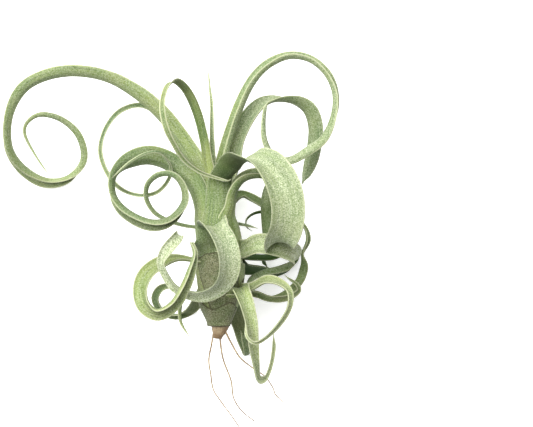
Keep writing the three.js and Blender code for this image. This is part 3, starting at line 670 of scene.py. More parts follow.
def section_template():
    across = [2 * k / (SECTION_POINTS - 1) - 1 for k in range(SECTION_POINTS)]
    bead = [(math.sin(math.radians(angle)), math.cos(math.radians(angle))) for angle in BEAD_ANGLES]
    rows = [(body, 1.0, 0.0) for body in across]
    rows += [(1.0, face, out) for face, out in bead]
    rows += [(body, -1.0, 0.0) for body in reversed(across)]
    rows += [(-1.0, face, -out) for face, out in reversed(bead)]
    mesh = chain("leaf_section", [((body + out) * MM, face * MM, 0) for body, face, out in rows], True)
    for key, values in zip(("body", "face", "bead"), zip(*rows)):
        mark(mesh, key, values)
    print("section points:", len(rows))
    return in_scene("leaf_section", mesh)


leaf_section = section_template()

# %% [markdown]
# The tree below is the rule itself. `body` runs over the width as an arc, the thickness follows
# a cosine from the rib to the margins, and shallow grooves run the length of the blade. A slow
# noise along each margin makes the blade a little uneven, as anything that grew is. The sweep
# and the noise are made first, in functions of their own.

# %% Sweep and waver
WAVER_SPEED = 70.0       # noise units in a metre of leaf, for the unevenness of the margins
WAVER_APART = 3.0        # noise units between the two margins, so that they differ
WAVER_POWER = 3.0        # the higher, the closer the unevenness keeps to the margins


def swept_section(tree, spine, section):
    """The template, carried along the spine, whose own place goes with it as `midline`."""
    spot = add(tree, "GeometryNodeInputPosition").outputs[0]
    marked = store(tree, spine, "midline", spot, "FLOAT_VECTOR")
    path = add(tree, "GeometryNodeMeshToCurve", {"Mesh": marked}).outputs[0]
    template = add(tree, "GeometryNodeObjectInfo", {"Object": section}).outputs["Geometry"]
    outline = add(tree, "GeometryNodeMeshToCurve", {"Mesh": template}).outputs[0]
    return add(tree, "GeometryNodeCurveToMesh",
               {"Curve": path, "Profile Curve": outline, "Fill Caps": True}).outputs[0]


def margin_waver(tree, given, body, reach, thin):
    """How far a slow noise moves each point across the blade, most at the margins."""
    which = maths(tree, "SIGN", body)
    drift = combined(tree, times(tree, reach, WAVER_SPEED), times(tree, which, WAVER_APART), given["Seed"])
    swing = maths(tree, "SUBTRACT", noise(tree, drift, 1.0), 0.5)
    share = maths(tree, "POWER", maths(tree, "ABSOLUTE", body), WAVER_POWER)
    return times(tree, swing, given["Unevenness"], which, thin, share)


print("one waver every", round(1000 / WAVER_SPEED), "mm of margin")

# %% Blade tree
TABLE_GAP = 0.12         # millimetres kept under a leaf that lies on the table


def blade_tree():
    tree, given, result = new_tree("channelled_blade", [
        ("Section", "Object", None),
        ("Skin", "Material", None),
        ("Rib thickness", "Float", RIB_THICKNESS * MM),
        ("Thickness per width", "Float", THICKNESS_PER_WIDTH),
        ("Margin thickness", "Float", 0.0006),
        ("Grooves", "Float", 3.0),
        ("Groove depth", "Float", 0.00007),
        ("Unevenness", "Float", 0.0007),
        ("Seed", "Float", 0.0),
    ])

    def calc(operation, *values):
        return maths(tree, operation, *values)

    def product(*values):
        return times(tree, *values)

    swept = swept_section(tree, given["Geometry"], given["Section"])
    body, face, bead = (named(tree, key) for key in ("body", "face", "bead"))
    width, bend, keel, thin, reach = (named(tree, key) for key in ("width", "bend", "keel", "thin", "reach"))
    midline, side, up = (named(tree, key, "FLOAT_VECTOR") for key in ("midline", "side", "up"))

    # Thickness: most at the rib, least at the margins.
    margin = product(given["Margin thickness"], thin)
    rib = product(thin, calc("MULTIPLY_ADD", given["Thickness per width"], width, given["Rib thickness"]))
    half_bead = product(margin, 0.5)
    hump = calc("COSINE", product(body, math.pi / 2))
    thick = between(tree, hump, margin, rib)
    half_width = calc("SUBTRACT", product(width, 0.5), half_bead)

    # Distance across from the midline.
    across = calc("MULTIPLY_ADD", body, half_width, product(bead, half_bead))
    across = calc("ADD", across, margin_waver(tree, given, body, reach, thin))

    # Height off the middle layer, with the grooves cut into both faces alike.
    groove = calc("COSINE", product(body, given["Grooves"], math.pi))
    groove = product(groove, given["Groove depth"], hump)
    height = calc("MULTIPLY_ADD", product(face, thick), -0.5, groove)

    radius = calc("DIVIDE", width, bend)
    angle = calc("DIVIDE", across, radius)
    cosine, sine = calc("COSINE", angle), calc("SINE", angle)

    def on_arc(arm):
        """The place at the end of an arm from the centre of the channel's arc."""
        rise = calc("SUBTRACT", calc("SUBTRACT", radius, keel), product(arm, cosine))
        out = vectors(tree, "ADD", midline, vectors(tree, "SCALE", side, product(arm, sine)))
        return vectors(tree, "ADD", out, vectors(tree, "SCALE", up, rise))

    # A leaf that reaches the table lies on it: where its middle layer would be lower than half
    # its thickness, both faces are lifted alike.
    layer = split(tree, on_arc(radius))["Z"]
    clear = calc("ADD", product(thick, 0.5), TABLE_GAP * MM)
    lift = calc("MAXIMUM", calc("SUBTRACT", clear, layer), 0.0)
    spot = vectors(tree, "ADD", on_arc(calc("ADD", radius, height)), combined(tree, z=lift))

    # Which way the margin faces, for the fuzz, and where each point lies on the unrolled leaf.
    brow = vectors(tree, "ADD", vectors(tree, "SCALE", side, product(calc("SIGN", body), cosine)),
                   vectors(tree, "SCALE", up, calc("ABSOLUTE", sine)))
    rim = product(calc("SUBTRACT", 1.0, calc("ABSOLUTE", body)), width, 0.5)
    flat = combined(tree, across, reach, given["Seed"])

    # What the formulas give is stored while the sweep still has the template's numbers.
    for key, value, kind in (("brow", brow, "FLOAT_VECTOR"), ("rim", rim, "FLOAT"),
                             ("flat", flat, "FLOAT_VECTOR")):
        swept = store(tree, swept, key, value, kind)
    placed = add(tree, "GeometryNodeSetPosition", {"Geometry": swept, "Position": spot}).outputs[0]
    smooth = add(tree, "GeometryNodeSetShadeSmooth", {"Geometry": placed}).outputs[0]
    return end_tree(tree, smooth, given["Skin"], result)


channelled_blade = blade_tree()

# %% [markdown]
# ## The fuzz
#
# An air plant drinks through silvery scales, called trichomes. They stand out from the margins
# as a pale fringe and lie all over both faces as dust. Modelling each one is possible because a
# scale needs four triangles only: a thin three-sided spike. The tree walks along both margins
# for the fringe, scatters points over the faces for the dust, and sets a spike on each.

# %% Fuzz tree
FULL_DUST = 650000.0     # spikes per square metre, on a leaf whose dustiness is 1
BEAD_CREST = 0.99        # the outermost line of each margin has more bead than this
FRINGE_WIDTH, FRINGE_LEAN = 0.00005, 0.6
DUST_WIDTH, DUST_LEAN = 0.00008, 1.1
SHORTEST = 0.4           # length of the shortest spikes, as a share of the longest


def fuzz_tree():
    tree, given, result = new_tree("trichome_fuzz", [
        ("Fuzz", "Material", None),
        ("Fringe spacing", "Float", 0.00045),
        ("Fringe length", "Float", 0.0003),
        ("Dust", "Float", FULL_DUST),
        ("Dust on the back", "Float", 1.0),
        ("Dust length", "Float", 0.0003),
        ("Seed", "Int", 0),
    ])

    def chance(low, high, offset, kind="FLOAT"):
        node = add(tree, "FunctionNodeRandomValue", data_type=kind)
        slots = [s for s in node.inputs if s.enabled]
        fill(tree, slots[0], low)
        fill(tree, slots[1], high)
        fill(tree, node.inputs["Seed"], maths(tree, "ADD", given["Seed"], float(offset)))
        return next(s for s in node.outputs if s.enabled)

    def above(value, limit):
        return add(tree, "FunctionNodeCompare", {"A": value, "B": limit},
                   data_type="FLOAT", operation="GREATER_THAN").outputs[0]

    def spikes(points, direction, lean, width, length, offset):
        """A thin spike on each point, leaning off its direction by chance."""
        cone = add(tree, "GeometryNodeMeshCone", {
            "Vertices": 3, "Radius Top": 0.0, "Radius Bottom": width, "Depth": length}).outputs["Mesh"]
        tilt = chance((-lean,) * 3, (lean,) * 3, offset, "FLOAT_VECTOR")
        turned = add(tree, "FunctionNodeAlignRotationToVector",
                     {"Vector": vectors(tree, "ADD", direction, tilt)}, axis="Z").outputs[0]
        return add(tree, "GeometryNodeInstanceOnPoints", {
            "Points": points, "Instance": cone, "Rotation": turned,
            "Scale": chance(SHORTEST, 1.0, offset + 1)}).outputs[0]

    crest = above(maths(tree, "ABSOLUTE", named(tree, "bead")), BEAD_CREST)
    margins = add(tree, "GeometryNodeMeshToCurve",
                  {"Mesh": given["Geometry"], "Selection": crest}).outputs[0]
    stops = add(tree, "GeometryNodeCurveToPoints", {"Curve": margins, "Length": given["Fringe spacing"]},
                mode="LENGTH").outputs[0]
    fringe = spikes(stops, named(tree, "brow", "FLOAT_VECTOR"), FRINGE_LEAN, FRINGE_WIDTH,
                    given["Fringe length"], 1)

    share = maths(tree, "MAXIMUM", above(named(tree, "face"), 0.0), given["Dust on the back"])
    scatter = add(tree, "GeometryNodeDistributePointsOnFaces", {
        "Mesh": given["Geometry"], "Density": times(tree, share, given["Dust"]), "Seed": given["Seed"]})
    dust = spikes(scatter.outputs["Points"], scatter.outputs["Normal"], DUST_LEAN, DUST_WIDTH,
                  given["Dust length"], 3)

    both = add(tree, "GeometryNodeJoinGeometry")
    tree.links.new(fringe, both.inputs[0])
    tree.links.new(dust, both.inputs[0])
    return end_tree(tree, both.outputs[0], given["Fuzz"], result)


trichome_fuzz = fuzz_tree()

# %% [markdown]
# ## Helpers for finishes
#
# A finish is a material whose colours, roughness and relief come out of noise. Colours are
# given as a screen shows them, 0 to 255, because the eye judges them so, and are turned into
# the linear light that nodes mix. `spread` picks a range out of a noise and stretches it, and
# `blend` lays one colour over another where that range is high.

# %% Material helpers
GRAIN_SIZE = 0.0009      # metres across one grain of dust


def colour(red, green, blue):
    def linear(value):
        value /= 255
        return value / 12.92 if value <= 0.04045 else ((value + 0.055) / 1.055) ** 2.4
    return (linear(red), linear(green), linear(blue), 1.0)


def new_material(name, **shader_values):
    """A material with a Principled shader, and its tree and shader for more nodes."""
    material = bpy.data.materials.new(name)
    material.use_nodes = True
    tree = material.node_tree
    shader = tree.nodes["Principled BSDF"]
    for label, value in shader_values.items():
        shader.inputs[label.replace("_", " ")].default_value = value
    return material, tree, shader


def number_at(tree, name):
    return add(tree, "ShaderNodeAttribute", attribute_name=name).outputs["Fac"]


def vector_at(tree, name):
    return add(tree, "ShaderNodeAttribute", attribute_name=name).outputs["Vector"]


def object_place(tree):
    return add(tree, "ShaderNodeTexCoord").outputs["Object"]


def spread(tree, value, low, high, to_low=0.0, to_high=1.0):
    """Maps low..high onto another range, and clamps it there."""
    return add(tree, "ShaderNodeMapRange", {
        "Value": value, "From Min": low, "From Max": high, "To Min": to_low, "To Max": to_high}).outputs[0]


def blend(tree, amount, first, second):
    return add(tree, "ShaderNodeMix", {0: amount, 6: first, 7: second}, data_type="RGBA").outputs[2]


def grains(tree, spot):
    """Small round grains, 1 at their middle and 0 between them."""
    cells = add(tree, "ShaderNodeTexVoronoi", {"Vector": spot, "Scale": 1 / GRAIN_SIZE})
    return spread(tree, cells.outputs["Distance"], 0.2, 0.55, 1.0, 0.0)


def speckles(tree, spot):
    return noise(tree, spot, 1500.0, roughness=0.7)


def surface(tree, shader, tint, roughness):
    tree.links.new(tint, shader.inputs["Base Color"])
    tree.links.new(roughness, shader.inputs["Roughness"])


def bumped(tree, shader, height, depth, strength):
    bump = add(tree, "ShaderNodeBump", {"Height": height, "Strength": strength, "Distance": depth})
    tree.links.new(bump.outputs[0], shader.inputs["Normal"])


print("finish helpers ready; a grain is", round(GRAIN_SIZE / MM, 1), "mm across")

# %% [markdown]
# ## The leaf's skin
#
# Under the dust the leaf is green, in fine stripes that follow its length, yellower where it is
# young and bluer where it is old. Where a face lies in shade, such as the backs of the broad
# leaves, the shade is painted in as deep green with little dust. Over that lies the pale dust of
# trichomes, grain by grain, and along both margins a pale rim. The stripes and the rim follow the
# leaf, so they read the numbers that the blade tree left on the mesh. The dust lies anyhow, so it
# reads Object coordinates, which don't stretch where a leaf is narrow.

# %% Leaf skin
YOUNG_GREEN = colour(112, 130, 50)
OLD_GREEN = colour(68, 98, 50)
# The deepest green serves both as painted shade and as the leaf's darker stripes.
SHADE_AND_STRIPE_GREEN = colour(38, 66, 12)
DUST = colour(192, 198, 168)
RIM = colour(180, 183, 148)
STRAW = colour(152, 138, 104)
SKIN_STRETCH = (1.0, 0.03, 1.0)      # makes stripes of a noise: slow along the leaf, fast across


def painted_shade_share(tree, along):
    """How much shade is painted: 1 where the leaf shows deep green painted shade instead of dust, 0 where it
    is dusted in full.
    """
    shade_on_channel, shade_on_back, shade_at_base = split(tree, vector_at(tree, "painted_shade"))
    shade_on_back = between(tree, spread(tree, along, 0.1, 0.2), shade_at_base, shade_on_back)
    shade_on_back = times(tree, shade_on_back, spread(tree, along, 0.88, 0.96, 1.0, 0.1))
    return between(tree, spread(tree, number_at(tree, "face"), -0.5, 0.5), shade_on_back, shade_on_channel)


def leaf_skin():
    material, tree, shader = new_material("dusty_leaf_skin", Sheen_Weight=0.03, Sheen_Roughness=0.45,
                                          Sheen_Tint=(0.93, 0.96, 0.86, 1.0), Specular_IOR_Level=0.12)
    youth, dusty, dry = split(tree, vector_at(tree, "tone"))
    along, spot = number_at(tree, "along"), object_place(tree)
    painted_shade = painted_shade_share(tree, along)
    lengthwise = vectors(tree, "MULTIPLY", vector_at(tree, "flat"), SKIN_STRETCH)
    stripes, broad = noise(tree, lengthwise, 1100.0, 3.0, 0.6), noise(tree, lengthwise, 260.0, 1.0)
    patches = noise(tree, spot, 55.0)

    # The green under the dust: yellower near the stem and in patches, deep green where shade is painted,
    # striped, dry in places.
    young = maths(tree, "MULTIPLY_ADD", maths(tree, "SUBTRACT", patches, 0.5), 0.9,
                  spread(tree, along, 0.0, 0.4, 0.4, 0.0))
    green = blend(tree, maths(tree, "ADD", youth, young), OLD_GREEN, YOUNG_GREEN)
    green = blend(tree, painted_shade, green, SHADE_AND_STRIPE_GREEN)
    green = blend(tree, spread(tree, stripes, 0.42, 0.62, 0.0, 0.75), green, SHADE_AND_STRIPE_GREEN)
    green = blend(tree, times(tree, dry, spread(tree, patches, 0.42, 0.62)), green, STRAW)

    # The dust: grains and finer speckles, in broad streaks, thinner where shade is painted, more to the tip.
    grain = grains(tree, spot)
    dust = maths(tree, "MULTIPLY_ADD", grain, 0.35, spread(tree, speckles(tree, spot), 0.36, 0.64, 0.1, 0.6))
    dust = times(tree, dust, spread(tree, broad, 0.3, 0.7, 0.65, 1.15),
                 spread(tree, painted_shade, 0.0, 1.0, 1.0, 0.15), spread(tree, along, 0.1, 0.7, 0.85, 1.3), dusty)
    skin = blend(tree, dust, green, DUST)

    # The rim: under half a millimetre wide, fainter on dusty leaves and where shade is painted.
    rim = times(tree, spread(tree, number_at(tree, "rim"), 0.0001, 0.00045, 1.0, 0.0),
                spread(tree, dusty, 0.5, 1.0, 0.8, 0.45), spread(tree, painted_shade, 0.0, 1.0, 1.0, 0.3))
    surface(tree, shader, blend(tree, rim, skin, RIM), spread(tree, grain, 0.0, 1.0, 0.58, 0.78))
    relief = maths(tree, "MULTIPLY_ADD", grain, 0.6, times(tree, stripes, 1.2))
    bumped(tree, shader, relief, 0.00012, 0.7)
    return material


dusty_leaf_skin = leaf_skin()
print(dusty_leaf_skin.name, "has", len(dusty_leaf_skin.node_tree.nodes), "nodes")

# %% [markdown]
# The fuzz is the same dust seen one scale at a time: nearly white, matt, and a little warmer in
# some places than in others. A dry sheath is papery: grey-green while it is fresh and greyer
# when it is old, with fibres that run up it, dark specks, some dust, and a dark, uneven edge.
# Roots are tan with darker rings, and rough.

# %% Fuzz, dry sheath and root finishes
def fuzz_white():
    material, tree, shader = new_material("trichome_white", Specular_IOR_Level=0.2)
    mottle = noise(tree, object_place(tree), 180.0)
    tint = blend(tree, spread(tree, mottle, 0.35, 0.65), colour(184, 190, 160), colour(208, 210, 192))
    surface(tree, shader, tint, spread(tree, mottle, 0.3, 0.7, 0.6, 0.8))
    return material


def dry_sheath():
    material, tree, shader = new_material("dry_sheath", Specular_IOR_Level=0.25)
    spot, rim = object_place(tree), number_at(tree, "rim")
    upward = vectors(tree, "MULTIPLY", vector_at(tree, "flat"), (1.0, 0.12, 1.0))
    fibres = noise(tree, upward, 1100.0, 3.0, 0.65)
    patches = noise(tree, spot, 120.0, 3.0)
    grain = times(tree, grains(tree, spot), 0.4)
    skin = blend(tree, spread(tree, patches, 0.38, 0.62), colour(84, 94, 62), colour(110, 110, 84))
    skin = blend(tree, number_at(tree, "fresh"), skin, colour(124, 136, 80))
    skin = blend(tree, spread(tree, fibres, 0.45, 0.68, 0.0, 0.35), skin, colour(66, 72, 46))
    skin = blend(tree, spread(tree, speckles(tree, spot), 0.5, 0.64, 0.0, 0.8), skin, colour(46, 50, 30))
    skin = blend(tree, grain, skin, colour(160, 160, 132))
    skin = blend(tree, spread(tree, rim, 0.0002, 0.001, 0.9, 0.0), skin, colour(50, 44, 28))
    surface(tree, shader, skin, spread(tree, fibres, 0.3, 0.7, 0.7, 0.9))
    bumped(tree, shader, maths(tree, "ADD", fibres, grain), 0.0002, 0.8)
    return material


def root_bark():
    material, tree, shader = new_material("wiry_root_bark", Specular_IOR_Level=0.3)
    spot = object_place(tree)
    rings = noise(tree, vectors(tree, "MULTIPLY", spot, (1.0, 0.35, 1.0)), 900.0, 3.0, 0.6)
    patches = noise(tree, spot, 130.0)
    bark = blend(tree, spread(tree, patches, 0.38, 0.62), colour(126, 104, 76), colour(160, 142, 112))
    bark = blend(tree, spread(tree, rings, 0.5, 0.72, 0.0, 0.7), bark, colour(84, 64, 44))
    surface(tree, shader, bark, spread(tree, rings, 0.3, 0.7, 0.62, 0.86))
    bumped(tree, shader, rings, 0.0002, 0.8)
    return material


trichome_white, dry_sheath_skin, wiry_root_bark = fuzz_white(), dry_sheath(), root_bark()
print("finishes:", [m.name for m in (dusty_leaf_skin, trichome_white, dry_sheath_skin, wiry_root_bark)])

# %% [markdown]
# ## The leaves
#
# Each leaf is grown from its own row of the table: first the blade, then the fuzz on it. Both
# are plain meshes when they are done, and both ride on the plant's one body. Numbers that no
# material reads any more are taken off the meshes, which keeps them small.

# %% Grow the leaves
def finish_piece(piece, slot, *replaced):
    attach(piece, "root")
    if replaced:
        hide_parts(*replaced)


def strip_attributes(mesh, *kept):
    for name in [a.name for a in mesh.attributes if not a.is_internal and not a.is_required]:
        if name not in ("position", "sharp_face", *kept):
            mesh.attributes.remove(mesh.attributes[name])


blade_total = fuzz_total = 0
for order, (name, bearing, channel, sheath, tone, rows) in enumerate(LEAVES):
    _, dusty, _, shade_on_channel, shade_on_back, _ = tone
    spine = spine_mesh(name + "_spine", leaf_stations(bearing, channel, sheath, rows), tone)
    blade = grow(spine, channelled_blade, name + "_blade", Section=leaf_section,
                 Skin=dusty_leaf_skin, Seed=float(order))
    # The fuzz is thinned on each face as much as shade is painted on it.
    dusting = grow(blade.data, trichome_fuzz, name + "_fuzz", Fuzz=trichome_white, Seed=order,
                   **{"Dust": FULL_DUST * dusty * (1 - shade_on_channel), "Dust on the back": 1 - shade_on_back})
    strip_attributes(blade.data, "flat", "rim", "tone", "painted_shade", "along", "face")
    strip_attributes(dusting.data)
    finish_piece(blade, "leaf", name)
    finish_piece(dusting, "leaf")
    blade_total += triangles(blade)
    fuzz_total += triangles(dusting)
bpy.data.objects.remove(leaf_section)
print("leaves:", len(LEAVES), "blade triangles:", blade_total, "fuzz triangles:", fuzz_total)

# %% [markdown]
# ## The stem
#
# The stem itself hardly shows: leaf sheaths wrap it in overlapping steps that wind upwards. A
# round column with steps in its radius gives that, and it stands in the shade behind the
# sheaths of the leaves.

# %% Stem column
STEM_SIDES = 132
STEM_INSET = 0.9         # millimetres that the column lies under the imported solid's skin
# The stem's skin carries a little painted shade, in deep green, as the leaves do.
STEM_TONE, STEM_PAINTED_SHADE = (0.25, 0.55, 0.35), (0.3, 0.3, 0.0)
STEM_PATTERN = 90.0      # its place in the noise, away from that of any leaf
SHEATH_EDGES = 3
SHEATH_STEP = 0.09       # how far one edge stands over the next, as a share of the radius
SHEATH_PITCH = 95.0      # millimetres of stem in which an edge moves on by one place


def closed_rings(rings):
    """Faces that join rings of equally many points, with one face over each end."""
    sides = len(rings[0])
    faces = []
    for i in range(len(rings) - 1):
        for j in range(sides):
            a, b = i * sides + j, i * sides + (j + 1) % sides
            faces.append((a, b, b + sides, a + sides))
    faces.append(tuple(reversed(range(sides))))
    faces.append(tuple(range((len(rings) - 1) * sides, len(rings) * sides)))
    return faces


def faced_piece(name, corners, faces, material):
    """A smooth piece from its corners, in metres, and its faces."""
    mesh = bpy.data.meshes.new(name)
    mesh.from_pydata(corners, [], faces)
    mesh.shade_smooth()
    mesh.materials.append(material)
    return in_scene(name, mesh)


def stem_column():
    rings, flats, rims = [], [], []
    for x, y, z, radius in STEM_STATIONS:
        ring = []
        for side in range(STEM_SIDES):
            turn = side / STEM_SIDES
            climb = (SHEATH_EDGES * turn + y / SHEATH_PITCH) % 1
            reach = radius * (1 + SHEATH_STEP * (climb - 0.5)) - STEM_INSET
            angle = turn * math.tau
            ring.append(Vector((x + reach * math.sin(angle), y, z + reach * math.cos(angle))) * MM)
            flats.append((angle * radius * MM, y * MM, STEM_PATTERN))
            rims.append((1 - climb) * radius * math.tau / SHEATH_EDGES * MM)
        rings.append(ring)
    corners = [corner for ring in rings for corner in ring]
    column = faced_piece("sheathed_stem", corners, closed_rings(rings), dusty_leaf_skin)
    for key, values in (("flat", flats), ("rim", rims), ("tone", [STEM_TONE] * len(corners)),
                        ("painted_shade", [STEM_PAINTED_SHADE] * len(corners))):
        mark(column.data, key, values)
    return column


stem = stem_column()
finish_piece(stem, "sheath", "leaf_sheath_stem")
print("stem triangles:", triangles(stem))

# %% [markdown]
# ## Roots
#
# The roots of an air plant are holdfasts, not feeders: thin, stiff and tan, each a little
# different in thickness along its length. A tree sweeps a small round along each path and lets
# noise push its surface in and out. The same tree makes the knot that they grow from, with a
# short thick path and a rougher surface.

# %% Root tree
LUMP_SCALE = 420.0       # lumps in a metre of root, or about one every 2.4 mm


def root_tree():
    tree, given, result = new_tree("wiry_root", [
        ("Bark", "Material", None),
        ("Sides", "Int", 10),
        ("Roughness", "Float", 0.00022),
    ])
    radius = named(tree, "radius")
    path = add(tree, "GeometryNodeMeshToCurve", {"Mesh": given["Geometry"]}).outputs[0]
    sized = add(tree, "GeometryNodeSetCurveRadius", {"Curve": path, "Radius": radius}).outputs[0]
    ring = add(tree, "GeometryNodeCurvePrimitiveCircle",
               {"Resolution": given["Sides"], "Radius": 1.0}).outputs[0]
    tube = add(tree, "GeometryNodeCurveToMesh", {
        "Curve": sized, "Profile Curve": ring, "Fill Caps": True, "Scale": radius}).outputs[0]
    lumps = noise(tree, add(tree, "GeometryNodeInputPosition").outputs[0], LUMP_SCALE)
    push = times(tree, maths(tree, "SUBTRACT", lumps, 0.5), given["Roughness"])
    normal = add(tree, "GeometryNodeInputNormal").outputs[0]
    rough = add(tree, "GeometryNodeSetPosition", {
        "Geometry": tube, "Offset": vectors(tree, "SCALE", normal, push)}).outputs[0]
    smooth = add(tree, "GeometryNodeSetShadeSmooth", {"Geometry": rough}).outputs[0]
    return end_tree(tree, smooth, given["Bark"], result)


wiry_root = root_tree()

# %% [markdown]
# Each root's path gets a radius at every point, which falls towards the tip.

# %% Grow the roots
ROOT_SPACING, KNOT_SPACING = 0.8, 0.5
ROOT_RADIUS = 0.5
ROOT_TAPER = 0.45        # part of its radius that a root loses up to its tip


def strand(name, rows, **settings):
    """A root along rows of x, y, z and radius, in millimetres."""
    mesh = chain(name + "_path", [place(row) * MM for row in rows])
    mark(mesh, "radius", [row[3] * MM for row in rows])
    piece = grow(mesh, wiry_root, name, Bark=wiry_root_bark, **settings)
    strip_attributes(piece.data)
    return piece


root_pieces = []
for order, route in enumerate(ROOTS):
    rows = smooth_rows(route, ROOT_SPACING)
    tapered = [row + [ROOT_RADIUS * (1 - ROOT_TAPER * i / len(rows))] for i, row in enumerate(rows)]
    root_pieces.append(strand(f"root_strand_{order}", tapered))
root_pieces.append(strand("root_knot", smooth_rows(ROOT_KNOT, KNOT_SPACING), Sides=36, Roughness=0.0016))
finish_piece(root_pieces[0], "root", "root_tuft")
for piece in root_pieces[1:]:
    finish_piece(piece, "root")
print("root triangles:", sum(triangles(piece) for piece in root_pieces))

# %% [markdown]
# ## Old sheaths round the stem
#
# When a leaf dies, its blade drops off and its sheath stays, drying to a grey-brown paper with a
# torn upper rim. A few of them still wrap the lower stem, one over the other. Each is a shell
# made point by point: bearings round the stem across, height along the stem up, with its torn
# rim given as a list. Both faces share their edge points, so the shell is closed and its edges
# are round.

# %% Shell helpers
EDGE_ROUND = 0.5         # millimetres in from an edge at which a sheath has its full thickness


def spaced(length, step):
    """Distances from 0 to length, closer together near both ends."""
    close = [0.0, 0.06, 0.2, EDGE_ROUND]
    count = max(2, math.ceil((length - 2 * EDGE_ROUND) / step))
    middle = [EDGE_ROUND + (length - 2 * EDGE_ROUND) * i / count for i in range(1, count)]
    return close + middle + [length - d for d in reversed(close)]


def rim_height(rim, bearing):
    """The height of a torn rim at a bearing, eased between its (bearing, height) points."""
    for (a, low), (b, high) in zip(rim, rim[1:]):
        if bearing <= b:
            return low + (high - low) * ease((bearing - a) / (b - a))
    return rim[-1][1]


def closed_shell(outer, inner, columns):
    """Corners and faces of a shell between two grids, and each corner's place in the grid."""
    rows = len(outer) // columns
    corners, places, behind = list(outer), list(range(len(outer))), list(range(len(outer)))
    for k, corner in enumerate(inner):
        if 0 < k // columns < rows - 1 and 0 < k % columns < columns - 1:
            behind[k] = len(corners)
            corners.append(corner)
            places.append(k)
    faces = []
    for i in range(rows - 1):
        for j in range(columns - 1):
            a = i * columns + j
            quad = (a, a + 1, a + columns + 1, a + columns)
            faces += [tuple(reversed(quad)), tuple(behind[k] for k in quad)]
    return corners, faces, places


print("points over a 10 mm wide shell:", len(spaced(10, 1.2)))

# %% Old sheaths
SHEATH_THICKNESS = 0.7
ROW_SPACING, COLUMN_SPACING = 1.4, 1.2
WAVES = ((0.12, 9, 5), (0.08, 4.3, -3))     # mm high, degrees round and mm up for a radian
RISE_LENGTH = 14         # millimetres up from its foot over which a sheath comes off the stem
SHEATH_PATTERN = 80      # its place in the noise, to which its lift is added


def wrapped_sheath(name, lift, fresh, bottom, left, right, rim):
    """left and right: (bearing low down, bearing at the rim). rim: (bearing, height) points."""
    tall = max(height for _, height in rim) - bottom
    ups = spaced(tall, ROW_SPACING)
    around = spaced(math.radians(right[1] - left[1]) * stem_at(0)[1], COLUMN_SPACING)
    outer, inner, flats, rims = [], [], [], []
    for up in ups:
        t = up / tall
        low, high = (side[0] + (side[1] - side[0]) * ease(t) for side in (left, right))
        for out in around:
            s = out / around[-1]
            bearing = low + (high - low) * s
            y = bottom + (rim_height(rim, bearing) - bottom) * t
            axis, radius = stem_at(y)
            arc = math.radians(high - low) * radius
            edge = min(s * arc, (1 - s) * arc, t * tall, (1 - t) * tall)
            inward = 1 - min(1.0, edge / EDGE_ROUND)
            half = SHEATH_THICKNESS / 2 * math.sqrt(max(0.0, 1 - inward ** 2))
            wave = sum(size * math.sin(bearing / across + y / along) for size, across, along in WAVES)
            middle = radius + (lift + wave) * ease((y - bottom) / RISE_LENGTH)
            for corners, offset in ((outer, half), (inner, -half)):
                corners.append((axis + ray(bearing) * (middle + offset)) * MM)
            flats.append((math.radians(bearing) * radius * MM, y * MM, SHEATH_PATTERN + lift))
            rims.append(edge * MM)

    corners, faces, places = closed_shell(outer, inner, len(around))
    piece = faced_piece(name, corners, faces, dry_sheath_skin)
    for key, values in (("flat", [flats[k] for k in places]), ("rim", [rims[k] for k in places]),
                        ("fresh", [fresh] * len(corners))):
        mark(piece.data, key, values)
    finish_piece(piece, "sheath")
    return piece


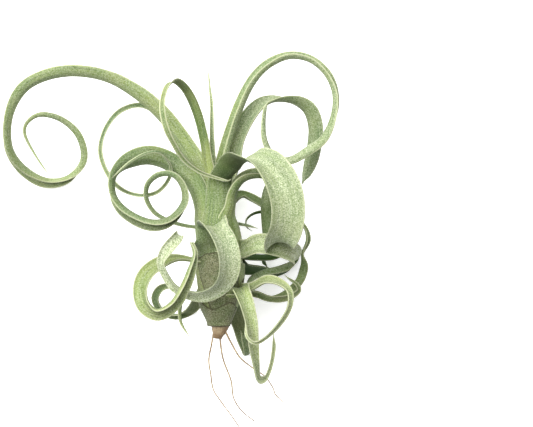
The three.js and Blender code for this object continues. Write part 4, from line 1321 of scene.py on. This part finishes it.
old_sheaths = [
    wrapped_sheath("old_sheath_left", 0.95, 0.7, -46, (-150, -165), (20, 0), [
        (-165, -2), (-120, -9), (-80, -5), (-62, -8), (-40, -11), (0, -14)]),
    wrapped_sheath("old_sheath_front", 1.4, 0.1, -45, (-28, -58), (60, 45), [
        (-58, -9), (-46, -8), (-28, -6), (0, -5), (20, -9), (45, -16)]),
    wrapped_sheath("old_sheath_rear", 0.5, 0.0, -46, (60, 75), (230, 215), [
        (75, -14), (130, -20), (170, -16), (215, -24)]),
    wrapped_sheath("old_sheath_base", 2.2, 0.1, -47, (-185, -170), (70, 60), [
        (-170, -34), (-120, -38), (-70, -33), (-20, -37), (30, -33), (60, -36)]),
]
print("old sheath triangles:", sum(triangles(piece) for piece in old_sheaths))

# %% [markdown]
# ## Table and light
#
# The plant lies on a plain pale table. The light is that of a bright room: a white world from
# all round, and one broad soft lamp above, a little to the left, that gives the leaves their
# form. A small lamp would cut hard shadows that the soft look hasn't got.

# %% Table
TABLE_HALF = 2.0         # metres from its middle to an edge, so that no edge shows
TABLE_GLOW = 0.55        # a little light of its own keeps the table pale in the shadows
WHITE = (1.0, 1.0, 1.0, 1.0)


def pale_table():
    material, tree, shader = new_material("pale_table", Specular_IOR_Level=0.2, Emission_Color=WHITE,
                                          Emission_Strength=TABLE_GLOW)
    mottle = noise(tree, object_place(tree), 9.0, 3.0)
    tint = blend(tree, spread(tree, mottle, 0.3, 0.7), colour(243, 243, 243), colour(247, 247, 247))
    surface(tree, shader, tint, spread(tree, mottle, 0.3, 0.7, 0.75, 0.85))
    corners = [(x * TABLE_HALF, y * TABLE_HALF, 0) for x, y in ((-1, -1), (1, -1), (1, 1), (-1, 1))]
    table = faced_piece("table_top", corners, [(0, 1, 2, 3)], material)


pale_table()
print("table:", 2 * TABLE_HALF, "m across")

# %% Light
WORLD_STRENGTH = 0.14
LAMP_SIZE, LAMP_POWER = 1.5, 64.0      # metres across, and watts
LAMP_PLACE, LAMP_AIM = Vector((-0.35, 0.6, 1.4)), Vector((0.0, 0.0, 0.05))

scene = bpy.context.scene
scene.view_settings.view_transform = "Standard"
scene.view_settings.look = "None"

world = bpy.data.worlds.new("bright_room")
world.use_nodes = True
background = world.node_tree.nodes["Background"].inputs
background["Color"].default_value = WHITE
background["Strength"].default_value = WORLD_STRENGTH
scene.world = world

lamp_data = bpy.data.lights.new("window_lamp", "AREA")
lamp_data.shape = "DISK"
lamp_data.size = LAMP_SIZE
lamp_data.energy = LAMP_POWER
lamp = in_scene("window_lamp", lamp_data)
lamp.location = LAMP_PLACE
lamp.rotation_euler = (LAMP_AIM - LAMP_PLACE).to_track_quat("-Z", "Y").to_euler()
print("lamp at", tuple(round(side, 2) for side in lamp.location))
